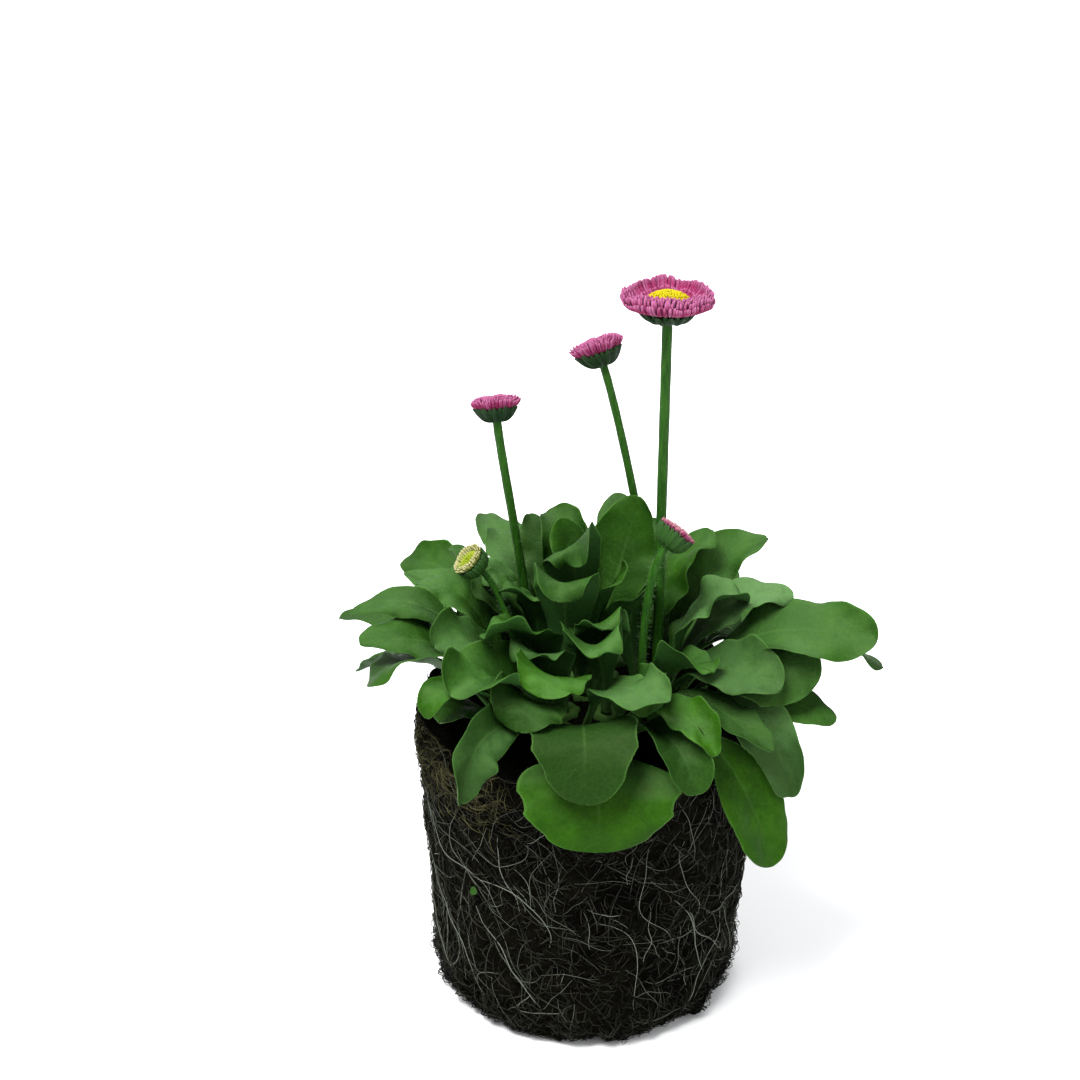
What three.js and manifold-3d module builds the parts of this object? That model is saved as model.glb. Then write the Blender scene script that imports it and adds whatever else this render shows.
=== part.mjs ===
// English daisy in bloom, lifted out of its pot with its ball of soil and roots.
// Millimetres, +Z up, front towards -Y. The origin is the middle of the root ball's flat foot.
import * as THREE from "three";
import { mergeVertices } from "three/addons/utils/BufferGeometryUtils.js";
import Module from "manifold-3d";

const wasm = await Module();
wasm.setup();

const SOIL = 93; // height of the soil surface
const GAP = 0.3; // clear space between neighbouring pieces
const BLADE = 0.9; // thickness of a leaf blade along its midrib
const ROOT_RISE = 1.4; // leaves start this far above the soil, on a stub that stands in it
const STUB_DEPTH = 5; // how deep stubs and flower stems reach into the soil
const CROWN_STUB = 4; // radius of the stub that the leaves of a crown share
const CROWN_LEAN = 2.6; // how far from the middle of its crown a leaf starts
const WIDEST = 0.66; // share of its length at which an upright leaf is widest
const TIP_BEND = 0.42; // share of its length over which its tip bends
const BACK_LEAVES = 24;
const YOUNG_LEAVES = 6;
const OPEN_FRONT = 92; // azimuth to either side up to which no back leaf grows
const GOLDEN_ANGLE = 137.508;

const SOIL_BROWN = 0x2a1f18;
const LEAF_GREEN = 0x3f7a2b;
const STEM_GREEN = 0x4c7d3a;
const PETAL_PINK = 0xcf5f92;
const PALE_YELLOW = 0xe2dc9a;
const DISC_YELLOW = 0xd8cc28;

// Leaves that the photo shows, in the order in which they are set. Azimuth 0 points to the front and grows to the
// right. Columns: name, azimuth of the tip, its reach from the axis, its height over the soil, width of the blade,
// slope of the tip, roll, fold along the midrib, height of the edge waves, yaw of the tip. A drooping leaf adds
// where it is widest and how long its tip bends.
const SHOWN_LEAVES = [
  ["front_low", 2, 57, -20, 45, -82, 0, 5, 0.6, 0, 0.55, 0.62],
  ["front_round", 0, 58, 1, 30, -76, 4, 8, 0.7, 0, 0.62, 0.92],
  ["front_right_hanging", 50, 69, -28, 22, -62, 8, 14, 0.8, -6, 0.76, 0.55],
  ["front_right_short", 29, 62, 2, 17, -72, 14, 40, 0.8, 0, 0.66, 0.5],
  ["right_hanging", 59, 66, -12, 17, -86, 62, 24, 2.2, 8, 0.6, 0.8],
  ["left_curled", -31, 66, 0, 16, -82, -70, 34, 2.6, 0, 0.6, 0.7],
  ["middle_1", -16, 46, 27, 22, -48, -14, 14, 2.2, -12],
  ["front_crossing", 27, 51, 28, 16, -18, 4, 8, 2.6, 64],
  ["middle_3", -39, 58, 33, 25, -10, -15, 40, 3.6, 0],
  ["middle_4", 5, 36, 35, 20, 0, 20, 40, 4.2, 0],
  ["middle_5", -4, 16, 52, 18, -45, 38, 12, 1.6, 30],
  ["middle_6", 87, 58, 35, 15, -15, 10, 10, 1.7, 0],
  ["right_far", 76, 83, 31, 22, -8, 30, 14, 3.0, 0],
  ["right_flat", 68, 67, 17, 25, -45, 35, 10, 1.4, 0],
  ["middle_7", 70, 62, 17, 20, -20, 20, 30, 2.0, 0],
  ["middle_8", -79, 67, 34, 12, -30, 0, 8, 1.3, 0],
  ["left_flat", -67, 68, 35, 18, 0, -15, 15, 1.4, 0],
  ["middle_9", -58, 48, 30, 18, -20, -20, 22, 2.4, 0],
  ["middle_10", 143, 24, 54, 21, 70, 10, 8, 1.3, 0],
  ["middle_11", -19, 25, 45, 19, -50, 0, 20, 2.4, 0],
  ["middle_12", 23, 18, 44, 15, 0, 0, 35, 2, 0],
  ["middle_13", 85, 66, 30, 21, -5, 25, 8, 2.3, 0],
  ["middle_14", 50, 46, 20, 19, 5, -20, 50, 2.0, 0],
  ["middle_15", 36, 62, 9, 13, -45, 10, 30, 1.6, 0],
  ["left_small", -43, 62, 23, 11, -75, 0, 10, 0.5, 0],
  ["front_left_shaded", -26, 50, 11, 22, -62, -10, 12, 2.0, 0, 0.7, 0.6],
  ["left_drooping", -63, 68, 24, 25, -50, 28, 10, 1.8, 0],
  ["middle_16", -87, 48, 34, 16, -10, 0, 12, 2.3, 0],
  ["middle_17", 89, 24, 42, 16, 70, 20, 15, 1.1, 0],
  ["middle_18", 88, 38, 34, 16, 45, 0, 15, 1.3, 0],
  ["right_tip", 82, 84, 17, 15, -35, -30, 20, 1.6, 0],
  ["right_low", 67, 74, 9, 15, -20, 10, 5, 0.6, 0],
  ["middle_20", 62, 66, 12, 12, -20, 0, 20, 1.1, 0],
  ["middle_21", -159, 28, 46, 15, 0, 0, 12, 2, 0],
  ["middle_22", -147, 14, 51, 16, 60, 10, 25, 1.3, 0],
  ["middle_23", -151, 34, 42, 15, 35, 0, 10, 1.7, 0],
  ["middle_24", -124, 40, 42, 16, 20, -20, 15, 1.7, 0],
  ["middle_25", -112, 30, 36, 17, 20, 10, 12, 1.7, 0],
  ["middle_27", -31, 36, 26, 18, -10, 10, 20, 2.3, 0],
  ["middle_28", 46, 48, 7, 17, 0, 15, 45, 2.4, 0],
  ["middle_29", 50, 34, 27, 17, 10, 20, 20, 2, 0],
  ["left_low", -50, 53, 12, 18, -40, 10, 10, 1.0, 0],
  ["middle_30", -11, 40, 20, 21, -20, 0, 8, 2.3, 0],
  ["front_right_low", 34, 56, -3, 17, -50, 0, 10, 0.8, 0],
  ["middle_31", -78, 58, 20, 20, -30, 15, 10, 2.3, 0],
  ["middle_32", 64, 52, 27, 18, -10, -20, 15, 2.3, 0],
  ["middle_33", 2, 27, 41, 17, 5, 20, 15, 2.7, 0],
  ["middle_34", -34, 20, 46, 15, 40, -20, 20, 2, 0],
  ["middle_35", 44, 16, 48, 15, 50, 20, 20, 1.7, 0],
  ["middle_36", 112, 42, 42, 20, 20, -20, 12, 2.3, 0],
  ["middle_37", 80, 46, 30, 20, -20, -15, 20, 2.6, 0],
  ["middle_38", 58, 28, 37, 18, 20, -20, 20, 2.4, 0],
  ["middle_39", -62, 26, 36, 18, 10, 15, 18, 2.4, 0],
  ["middle_40", 72, 20, 40, 16, 40, 0, 20, 2, 0],
  ["middle_41", -72, 38, 40, 18, -10, -20, 15, 2.4, 0],
  ["middle_42", 30, 44, 18, 18, -20, 30, 25, 3, 20],
  ["middle_43", -28, 44, 16, 18, -30, 20, 20, 3, 0],
  ["middle_44", 0, 46, 24, 18, -10, -20, 30, 3, 20],
  ["middle_45", -8, 30, 32, 18, 0, 20, 30, 3, 0],
  ["middle_46", 88, 44, 19, 18, -10, 0, 15, 2.4, 0],
  ["middle_47", -50, 40, 32, 18, -10, 20, 20, 3, 0],
  ["middle_48", 126, 44, 22, 21, -5, 0, 10, 2.4, 0],
  ["middle_49", 106, 54, 20, 21, -10, 0, 10, 2.4, 0],
  ["middle_50", -120, 42, 22, 20, -5, 0, 10, 2.4, 0],
  ["middle_51", 84, 64, 40, 20, -25, 15, 12, 3, 0],
];

// Outer leaves that stand alone in the soil: azimuth and radius of the root.
const LONE_ROOTS = {
  front_low: [7, 33],
  front_round: [-4, 26],
  front_crossing: [0, 19],
  front_right_hanging: [42, 34],
  front_right_short: [27, 27],
  right_hanging: [57, 27],
  left_curled: [-27, 28],
  right_flat: [70, 28],
  right_far: [80, 26],
  right_tip: [88, 32],
  left_flat: [-68, 27],
  left_drooping: [-57, 29],
  right_low: [66, 34],
  front_left_shaded: [-20, 27],
  left_small: [-41, 27],
  front_right_low: [36, 32],
  left_low: [-48, 32],
};

// The flower heads. Centre is the top of the green cup, with its height over the soil. Axis is the way the head
// faces, base the stem's place in the soil, and stem its radius.
const HEADS = [
  {
    name: "a",
    form: "open",
    centre: [21.6, 4, 123.3],
    size: 1,
    axis: [0.02, 0.2, 1],
    base: [20, 0],
    stem: 1.45,
  },
  {
    name: "b",
    form: "brush",
    centre: [2.9, 27, 96.2],
    size: 1,
    axis: [-0.33, 0.4, 0.86],
    base: [22, 22],
    stem: 1.15,
  },
  {
    name: "c",
    form: "bud",
    centre: [24.4, -10.6, 59.3],
    size: 0.83,
    axis: [0.6, 0.4, 0.69],
    base: [14.2, -14.2],
    stem: 1.15,
  },
  {
    name: "d",
    form: "young",
    centre: [-32.3, -8, 48.5],
    size: 0.78,
    axis: [-0.68, -0.1, 0.72],
    base: [-14.2, -14.2],
    stem: 0.9,
  },
  {
    name: "e",
    form: "brush",
    centre: [-25.6, 15.4, 84.4],
    size: 0.9,
    axis: [-0.1, 0.45, 0.89],
    base: [-14.2, 14.2],
    stem: 1.25,
  },
];

const daisy = new THREE.Group();
daisy.name = "english_daisy";
const foliage = new THREE.Group();
foliage.name = "foliage";
daisy.add(foliage);

// A repeatable draw from 0 to 1 for item k and use j: the fraction of a large multiple of a sine.
function draw(k, j) {
  const x = Math.sin(k * 12.9898 + j * 78.233) * 43758.5453;
  return x - Math.floor(x);
}

function clamp(x) {
  return Math.min(Math.max(x, 0), 1);
}

function degrees(x) {
  return (x * Math.PI) / 180;
}

function vector(x, y, z) {
  return new THREE.Vector3(x, y, z);
}

// The horizontal unit vector at an azimuth: 0 is the front, 90 the right.
function heading(azimuth) {
  return vector(Math.sin(degrees(azimuth)), -Math.cos(degrees(azimuth)), 0);
}

// A closed solid from points and triangles, turned to face out.
function solidOf(points, faces) {
  const vertProperties = new Float32Array(points.flatMap((p) => [p.x, p.y, p.z]));
  const build = (list) =>
    new wasm.Manifold(new wasm.Mesh({ numProp: 3, vertProperties, triVerts: new Uint32Array(list.flat()) }));
  const solid = build(faces);
  return solid.volume() > 0 ? solid : build(faces.map(([a, b, c]) => [a, c, b]));
}

// A closed solid through a stack of rings of equal count. A fan closes each end.
function ringSolid(rings) {
  const n = rings[0].length;
  const faces = [];
  for (let i = 0; i + 1 < rings.length; i++) {
    for (let k = 0; k < n; k++) {
      const a = i * n + k;
      const b = i * n + ((k + 1) % n);
      faces.push([a, b, b + n], [a, b + n, a + n]);
    }
  }
  const last = (rings.length - 1) * n;
  for (let k = 1; k + 1 < n; k++) {
    faces.push([0, k + 1, k], [last, last + k, last + k + 1]);
  }
  return solidOf(rings.flat(), faces);
}

// A solid from one of three.js's closed geometries.
function solidFrom(geometry) {
  geometry.deleteAttribute("normal");
  geometry.deleteAttribute("uv");
  const merged = mergeVertices(geometry, 1e-5);
  const vertProperties = new Float32Array(merged.attributes.position.array);
  const triVerts = new Uint32Array(merged.index.array);
  return new wasm.Manifold(new wasm.Mesh({ numProp: 3, vertProperties, triVerts }));
}

// A round bar of a given number of sides along a curve.
function bar(curve, radius, sides, steps) {
  const corners = Array.from({ length: sides }, (_, k) => {
    const turn = (2 * Math.PI * k) / sides;
    return new THREE.Vector2(radius * Math.cos(turn), radius * Math.sin(turn));
  });
  const options = { steps, extrudePath: curve, bevelEnabled: false };
  return solidFrom(new THREE.ExtrudeGeometry(new THREE.Shape(corners), options));
}

// Solids joined in one body. Hollows that the joining seals are filled and loose scraps are dropped.
function fuse(solids) {
  const bodies = wasm.Manifold.union(solids).decompose();
  bodies.sort((a, b) => b.volume() - a.volume());
  return bodies[0];
}

// A plain upright cylinder.
function cylinder(x, y, low, high, radius, sides) {
  const geometry = new THREE.CylinderGeometry(radius, radius, high - low, sides);
  geometry.rotateX(Math.PI / 2);
  geometry.translate(x, y, (low + high) / 2);
  return solidFrom(geometry);
}

function addNode(parent, name, solid, colour, roughness) {
  const mesh = solid.getMesh();
  const geometry = new THREE.BufferGeometry();
  geometry.setAttribute("position", new THREE.BufferAttribute(new Float32Array(mesh.vertProperties), 3));
  geometry.setIndex(new THREE.BufferAttribute(new Uint32Array(mesh.triVerts), 1));
  geometry.computeVertexNormals();
  const node = new THREE.Mesh(geometry, new THREE.MeshStandardMaterial({ color: colour, roughness }));
  node.name = name;
  parent.add(node);
}

// Leaf: the midrib is a cubic curve from its root to its tip. It leaves the root steeply, 60% of the way from its
// own slope to upright, and ends along the slope of the tip.
function midrib(leaf) {
  const tip = heading(leaf.azimuth).multiplyScalar(leaf.reach);
  tip.z = SOIL + leaf.height;
  const root = vector(leaf.root[0], leaf.root[1], SOIL + ROOT_RISE);
  const chord = tip.clone().sub(root);
  const length = chord.length();
  const flat = vector(chord.x, chord.y, 0).normalize();
  const slope = Math.atan2(chord.z, Math.hypot(chord.x, chord.y));
  const start = slope + (Math.PI / 2 - slope) * 0.6;
  const leaving = flat.clone().multiplyScalar(Math.cos(start));
  leaving.z = Math.sin(start);
  const end = degrees(leaf.tip);
  const arriving = heading(leaf.azimuth + leaf.yaw).multiplyScalar(Math.cos(end));
  arriving.z = Math.sin(end);
  const first = root.clone().addScaledVector(leaving, length * 0.42);
  const second = tip.clone().addScaledVector(arriving, -length * leaf.bow);
  return { curve: new THREE.CubicBezierCurve3(root, first, second, tip), flat };
}

// Leaf: a grid of points over the blade, from the root to the tip and from margin to margin. The stalk widens
// smoothly to the widest place and the far end is rounded. The blade folds up along the midrib, rolls to one side
// towards the tip, and its margins wave.
function bladeGrid(leaf, rows, columns, spare) {
  const { curve, flat } = midrib(leaf);
  const half = leaf.width / 2;
  const stalk = (1.25 + 0.012 * leaf.width) / half;
  const phase = 6.28 * draw(leaf.seed, 21);
  const rate = 11 + 4 * draw(leaf.seed, 22);
  const sideways = vector(-flat.y, flat.x, 0);
  const stations = [];
  for (let i = 0; i < rows; i++) {
    const s = i / (rows - 1);
    const far = (s - 0.5) / 0.5;
    const u = s < 0.5 ? 2 * s * leaf.widest : leaf.widest + (1 - leaf.widest) * Math.sin((far * Math.PI) / 2);
    const x = clamp((u - 0.12) / (leaf.widest - 0.12));
    const swell = x * x * (3 - 2 * x);
    const plan = s < 0.5 ? stalk + (1 - stalk) * swell : Math.max(Math.cos((far * Math.PI) / 2), 0) ** 0.85;
    const teeth = 1 + 0.035 * Math.sin(34 * u + leaf.seed) * clamp((u - 0.45) * 4);
    const reach = half * plan * teeth;
    const tangent = curve.getTangent(Math.min(u, 1));
    const level = sideways.clone().addScaledVector(tangent, -tangent.dot(sideways)).normalize();
    const face = tangent.clone().cross(level);
    const roll = degrees(leaf.roll) * clamp((u - 0.2) / 0.6);
    const across = level.clone().multiplyScalar(Math.cos(roll)).addScaledVector(face, Math.sin(roll));
    const over = face.clone().multiplyScalar(Math.cos(roll)).addScaledVector(level, -Math.sin(roll));
    const fold = degrees(leaf.fold) * (0.5 + 0.5 * clamp(1 - (u - 0.5) * 1.2));
    const waves = leaf.wave * clamp((u - 0.3) / 0.4) * Math.min(1, 2.2 * plan);
    const centre = curve.getPoint(Math.min(u, 1));
    const points = [];
    for (let j = 0; j < columns; j++) {
      const v = (2 * j) / (columns - 1) - 1;
      const bend = Math.sqrt(v * v + 0.02) - Math.sqrt(0.02);
      const ripple = waves * v * v * Math.sin(u * rate + phase + Math.sign(v) * 1.1);
      const width = reach + (i < rows - 1 ? spare : 0);
      points.push(
        centre
          .clone()
          .addScaledVector(across, width * v * Math.cos(fold))
          .addScaledVector(over, reach * bend * Math.sin(fold) + ripple),
      );
    }
    stations.push({ u, points });
  }
  return stations;
}

// Leaf: both faces stand off the grid along its normals and meet at the margins and the tip. Both faces are split
// into triangles alike. The stalk of a lone leaf goes straight down into the soil. Spare thickens and widens the
// part above the soil, for the test of whether it is clear.
function leafSolid(leaf, spare = 0) {
  const rows = leaf.rows;
  const columns = 5;
  const middle = 2;
  const grid = bladeGrid(leaf, rows, columns, spare);
  const points = [];
  const top = [];
  const bottom = [];
  for (let i = 0; i < rows - 1; i++) {
    const thickening = clamp((0.36 - grid[i].u) / 0.2);
    top.push([]);
    bottom.push([]);
    for (let j = 0; j < columns; j++) {
      const point = grid[i].points[j];
      if (j === 0 || j === columns - 1) {
        top[i].push(points.length);
        bottom[i].push(points.length);
        points.push(point);
        continue;
      }
      const along = grid[i + 1].points[j].clone().sub(grid[Math.max(i - 1, 0)].points[j]);
      const across = grid[i].points[j + 1].clone().sub(grid[i].points[j - 1]);
      const normal = along.cross(across).normalize();
      const share = j === middle ? 1 : 0.8;
      const rise = ((BLADE + 2 * spare + thickening) * share) / 2;
      top[i].push(points.length);
      points.push(point.clone().addScaledVector(normal, rise));
      bottom[i].push(points.length);
      points.push(point.clone().addScaledVector(normal, -rise));
    }
  }
  const tip = points.length;
  points.push(grid[rows - 1].points[middle]);
  top.push(Array(columns).fill(tip));
  bottom.push(Array(columns).fill(tip));
  const faces = [];
  const add = (a, b, c) => {
    if (a !== b && b !== c && a !== c) faces.push([a, b, c]);
  };
  for (let i = 0; i < rows - 1; i++) {
    for (let j = 0; j < columns - 1; j++) {
      const corners = [[i, j], [i, j + 1], [i + 1, j + 1], [i + 1, j]];
      const split = j < middle ? [[0, 1, 2], [0, 2, 3]] : [[0, 1, 3], [1, 2, 3]];
      for (const triangle of split) {
        const above = triangle.map((k) => top[corners[k][0]][corners[k][1]]);
        const below = triangle.map((k) => bottom[corners[k][0]][corners[k][1]]);
        add(above[0], above[1], above[2]);
        add(below[2], below[1], below[0]);
      }
    }
  }
  let base = [...top[0], ...bottom[0].slice(1, -1).reverse()];
  if (leaf.home.lone && !spare) {
    const foot = base.map((k) => {
      points.push(vector(points[k].x, points[k].y, SOIL - STUB_DEPTH));
      return points.length - 1;
    });
    for (let k = 0; k < base.length; k++) {
      const next = (k + 1) % base.length;
      faces.push([foot[k], base[next], base[k]], [foot[k], foot[next], base[next]]);
    }
    base = foot;
  }
  for (let k = 1; k + 1 < base.length; k++) {
    faces.push([base[0], base[k + 1], base[k]]);
  }
  return solidOf(points, faces);
}

function leafFrom(row, seed) {
  const [name, azimuth, reach, height, width, tip, roll, fold, wave, yaw, widest = WIDEST, bow = TIP_BEND] = row;
  return { name, azimuth, reach, height, width, tip, roll, fold, wave, yaw, widest, bow, seed };
}

// Leaves of the hidden side go round by the golden angle, steep ones first. The front half is left to the table.
function backLeaves(firstSeed) {
  const leaves = [];
  for (let i = 0; leaves.length < BACK_LEAVES; i++) {
    const azimuth = ((i * GOLDEN_ANGLE) % 360) - 180;
    if (Math.abs(azimuth) < OPEN_FRONT) continue;
    const k = leaves.length;
    const s = k / BACK_LEAVES;
    const rise = degrees(72 - 78 * s + 8 * (draw(k, 1) - 0.5));
    const length = 58 + 14 * s + 8 * (draw(k, 2) - 0.5);
    const row = [
      "back_" + (k + 1),
      azimuth,
      length * Math.cos(rise) + 4,
      length * Math.sin(rise) * 0.9 - 6 * s,
      14 + 7 * draw(k, 3),
      50 - 95 * s + 20 * (draw(k, 4) - 0.5),
      40 * (draw(k, 5) - 0.5),
      8 + 20 * draw(k, 6),
      0.6 + 1.4 * draw(k, 7),
      30 * (draw(k, 8) - 0.5),
    ];
    leaves.push(leafFrom(row, firstSeed + k));
  }
  return leaves;
}

// Short young leaves fill the middle.
function youngLeaves(firstSeed) {
  return Array.from({ length: YOUNG_LEAVES }, (_, k) => {
    const row = [
      "young_" + (k + 1),
      ((k * GOLDEN_ANGLE) % 360) - 180,
      10 + 1.2 * k,
      30 - 0.8 * k,
      9 + 3 * draw(k, 9),
      60 - 4 * k,
      30 * (draw(k, 10) - 0.5),
      15 + 15 * draw(k, 11),
      0.6,
      20 * (draw(k, 12) - 0.5),
    ];
    return leafFrom(row, firstSeed + k);
  });
}

// Rosettes are the crowns that leaves share: one in the middle, six round it and eight round those.
const CROWNS = [{ name: "leaves_core", kind: "core", azimuth: 0, radius: 0 }];
for (let i = 0; i < 6; i++) {
  CROWNS.push({ name: "leaves_inner_" + (i + 1), kind: "inner", azimuth: 60 * i + 30, radius: 11 });
}
for (let i = 0; i < 8; i++) {
  CROWNS.push({ name: "leaves_outer_" + (i + 1), kind: "outer", azimuth: 45 * i + 22, radius: 20 });
}
for (const crown of CROWNS) {
  crown.at = heading(crown.azimuth).multiplyScalar(crown.radius);
  crown.stub = CROWN_STUB;
}

function turnBetween(a, b) {
  return Math.abs(((((a - b + 180) % 360) + 360) % 360) - 180);
}

// The steepest leaves grow from the middle crown, less steep ones from the inner and outer crowns nearest to their
// azimuth, and the lone ones from a root of their own.
function giveRoot(leaf) {
  const rise = (Math.atan2(leaf.height, leaf.reach) * 180) / Math.PI;
  const lone = LONE_ROOTS[leaf.name];
  const lowBack = leaf.name.startsWith("back_") && rise < 12;
  if (lone || lowBack) {
    const [azimuth, radius] = lone ?? [leaf.azimuth, 27 + 6 * (leaf.seed % 2)];
    const at = heading(azimuth).multiplyScalar(radius);
    leaf.home = { name: "leaf_" + leaf.name, at, lone: true, stub: 1.4 + 0.012 * leaf.width };
    leaf.root = [at.x, at.y];
    return;
  }
  const kind = rise > 66 ? "core" : rise > 36 ? "inner" : "outer";
  const choices = CROWNS.filter((crown) => crown.kind === kind);
  choices.sort((a, b) => turnBetween(a.azimuth, leaf.azimuth) - turnBetween(b.azimuth, leaf.azimuth));
  leaf.home = choices[0];
  const lean = heading(leaf.azimuth).multiplyScalar(CROWN_LEAN);
  leaf.root = [leaf.home.at.x + lean.x, leaf.home.at.y + lean.y];
}

// Flower head: points in its own frame, by radius from the axis, height along it and angle about it. Both lengths
// grow with the size of the head.
function headFrame(head) {
  const axis = vector(...head.axis).normalize();
  const across = vector(0, 1, 0).cross(axis).normalize();
  const ahead = axis.clone().cross(across);
  const centre = vector(head.centre[0], head.centre[1], SOIL + head.centre[2]);
  const size = head.size;
  const outward = (angle) =>
    across.clone().multiplyScalar(Math.cos(angle)).addScaledVector(ahead, Math.sin(angle));
  const at = (radius, height, angle) =>
    centre.clone().addScaledVector(axis, height * size).addScaledVector(outward(angle), radius * size);
  return { axis, centre, outward, at, size };
}

// A solid of revolution in a head's frame. Its profile of radius and height starts and ends on the axis.
function turned(frame, profile, sides) {
  const outline = profile.map(([radius, height]) => new THREE.Vector2(radius * frame.size, height * frame.size));
  const geometry = new THREE.LatheGeometry(outline, sides);
  const toAxis = new THREE.Quaternion().setFromUnitVectors(vector(0, 1, 0), frame.axis);
  geometry.applyQuaternion(toAxis);
  geometry.translate(frame.centre.x, frame.centre.y, frame.centre.z);
  return solidFrom(geometry);
}

// A closed ring about a head's axis, from the corners of its section.
function collar(frame, section, sides) {
  const n = section.length;
  const points = [];
  const faces = [];
  for (let k = 0; k < sides; k++) {
    const angle = (2 * Math.PI * k) / sides;
    section.forEach(([radius, height]) => points.push(frame.at(radius, height, angle)));
  }
  for (let k = 0; k < sides; k++) {
    for (let i = 0; i < n; i++) {
      const a = k * n + i;
      const b = k * n + ((i + 1) % n);
      const c = ((k + 1) % sides) * n + i;
      const d = ((k + 1) % sides) * n + ((i + 1) % n);
      faces.push([a, b, d], [a, d, c]);
    }
  }
  return solidOf(points, faces);
}

// A floret or bract: a slim blade with a diamond section. Stations give radius, height and half width, and the last
// one is its point.
function floret(frame, angle, stations, thickness) {
  const side = frame.outward(angle + Math.PI / 2);
  const spine = stations.map(([radius, height]) => frame.at(radius, height, angle));
  const rings = [];
  for (let i = 0; i + 1 < stations.length; i++) {
    const before = spine[Math.max(i - 1, 0)];
    const over = spine[i + 1].clone().sub(before).cross(side).normalize();
    const half = stations[i][2] * frame.size;
    rings.push([
      spine[i].clone().addScaledVector(side, half),
      spine[i].clone().addScaledVector(over, thickness / 2),
      spine[i].clone().addScaledVector(side, -half),
      spine[i].clone().addScaledVector(over, -thickness / 2),
    ]);
  }
  const points = rings.flat();
  const faces = [[0, 2, 1], [0, 3, 2]];
  for (let i = 0; i + 1 < rings.length; i++) {
    for (let k = 0; k < 4; k++) {
      const a = 4 * i + k;
      const b = 4 * i + ((k + 1) % 4);
      faces.push([a, b, b + 4], [a, b + 4, a + 4]);
    }
  }
  const last = 4 * (rings.length - 1);
  const tip = points.length;
  points.push(spine[spine.length - 1]);
  for (let k = 0; k < 4; k++) {
    faces.push([last + k, last + ((k + 1) % 4), tip]);
  }
  return solidOf(points, faces);
}

// A ring of florets, evenly spaced with a small drawn shift in angle and height.
function floretRing(frame, count, stations, thickness, turn, use) {
  return Array.from({ length: count }, (_, k) => {
    const step = (2 * Math.PI) / count;
    const angle = step * (k + turn + 0.16 * (draw(k, use) - 0.5));
    const lift = 0.5 * (draw(k, use + 1) - 0.5);
    const moved = stations.map(([radius, height, half], i) => [radius, height + (i ? lift : 0), half]);
    return floret(frame, angle, moved, thickness);
  });
}

// What each form of head is made of. Cup is the profile of the green cup from the stem up, with its rim of pointed
// bracts: their count, the radius and height of their points and of the notches between them, and the seat inside.
// Florets sit on a plug or a collar, in rings of [count, stations, turn].
const FORMS = {
  open: {
    neck: 4.6,
    cup: [[1.7, -4.8], [4.4, -4]],
    bracts: { count: 13, point: [7.8, -1.1], notch: [6.7, -1.9], seat: 6.2 },
    collar: [[5.6, 0], [7.2, 0], [7.2, 1.8], [5.6, 1.8]],
    rings: [
      [14, [[6.8, 0.3, 0.8], [11.2, 0.4, 1.7], [12.8, 2, 1.2], [12.5, 3.6, 0]], 0],
      [9, [[6.8, 0.8, 0.8], [9.8, 1.9, 1.6], [11.1, 4.2, 0]], 0.5],
      [7, [[6.6, 1.2, 0.8], [7.9, 2.4, 1.4], [8.8, 3.8, 0]], 0.2],
    ],
    disc: [[0, 0], [5.2, 0], [5.2, 1.6], [4, 3.1], [1.8, 4], [0, 4.1]],
  },
  brush: {
    neck: 3.9,
    cup: [[1.4, -4], [3.3, -3.2]],
    bracts: { count: 12, point: [6.7, 0.8], notch: [5.2, -1.1], seat: 4.9 },
    plug: [[0, 0], [4.8, 0], [4.8, 1.2], [3.2, 1.8], [0, 2]],
    rings: [
      [10, [[4.5, 0.5, 0.8], [6.8, 1.2, 1.3], [7.7, 2.7, 0]], 0],
      [6, [[3.6, 0.9, 0.8], [5.1, 2.4, 1.3], [5.5, 3.6, 0]], 0.5],
      [3, [[1.6, 0.9, 0.8], [2.3, 2.7, 1.2], [2.5, 3.9, 0]], 0.2],
    ],
  },
  bud: {
    neck: 5,
    cup: [[1.4, -5], [4.2, -3.9]],
    bracts: { count: 11, point: [6.8, 1.1], notch: [5.9, -1], seat: 5.3 },
    plug: [[0, 0], [4.9, 0], [4.9, 0.8], [3, 1.3], [0, 1.4]],
    rings: [
      [9, [[4.4, 0.5, 0.8], [5.8, 1.2, 1.3], [6.3, 2.2, 0]], 0],
      [4, [[2.5, 0.7, 0.8], [3.2, 1.8, 1.3], [3.4, 2.7, 0]], 0.5],
    ],
  },
  young: {
    neck: 5,
    cup: [[1.2, -5], [3.5, -3.6]],
    bracts: { count: 11, point: [6, 0.7], notch: [5.2, -1], seat: 4.9 },
    collar: [[3.7, 0], [4.9, 0], [4.8, 1], [3.7, 1]],
    rings: [[10, [[4.3, 0.5, 0.8], [5.3, 1.4, 1.1], [6, 2.2, 0]], 0]],
    disc: [[0, 0], [3.4, 0], [3.4, 1], [1.8, 2.3], [0, 2.5]],
  },
};

// The green cup: its profile goes up to a rim that runs from point to notch, then in to the flat seat.
function cupOf(frame, form) {
  const { count, point, notch, seat } = form.bracts;
  const sides = 2 * count;
  const ring = (place) =>
    Array.from({ length: sides }, (_, k) => {
      const [radius, height] = place(k % 2 === 0);
      return frame.at(radius, height, (2 * Math.PI * k) / sides);
    });
  const rings = form.cup.map(([radius, height]) => ring(() => [radius, height]));
  rings.push(ring((isPoint) => (isPoint ? point : notch)));
  rings.push(ring(() => [seat, -GAP / frame.size]));
  return ringSolid(rings);
}

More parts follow.
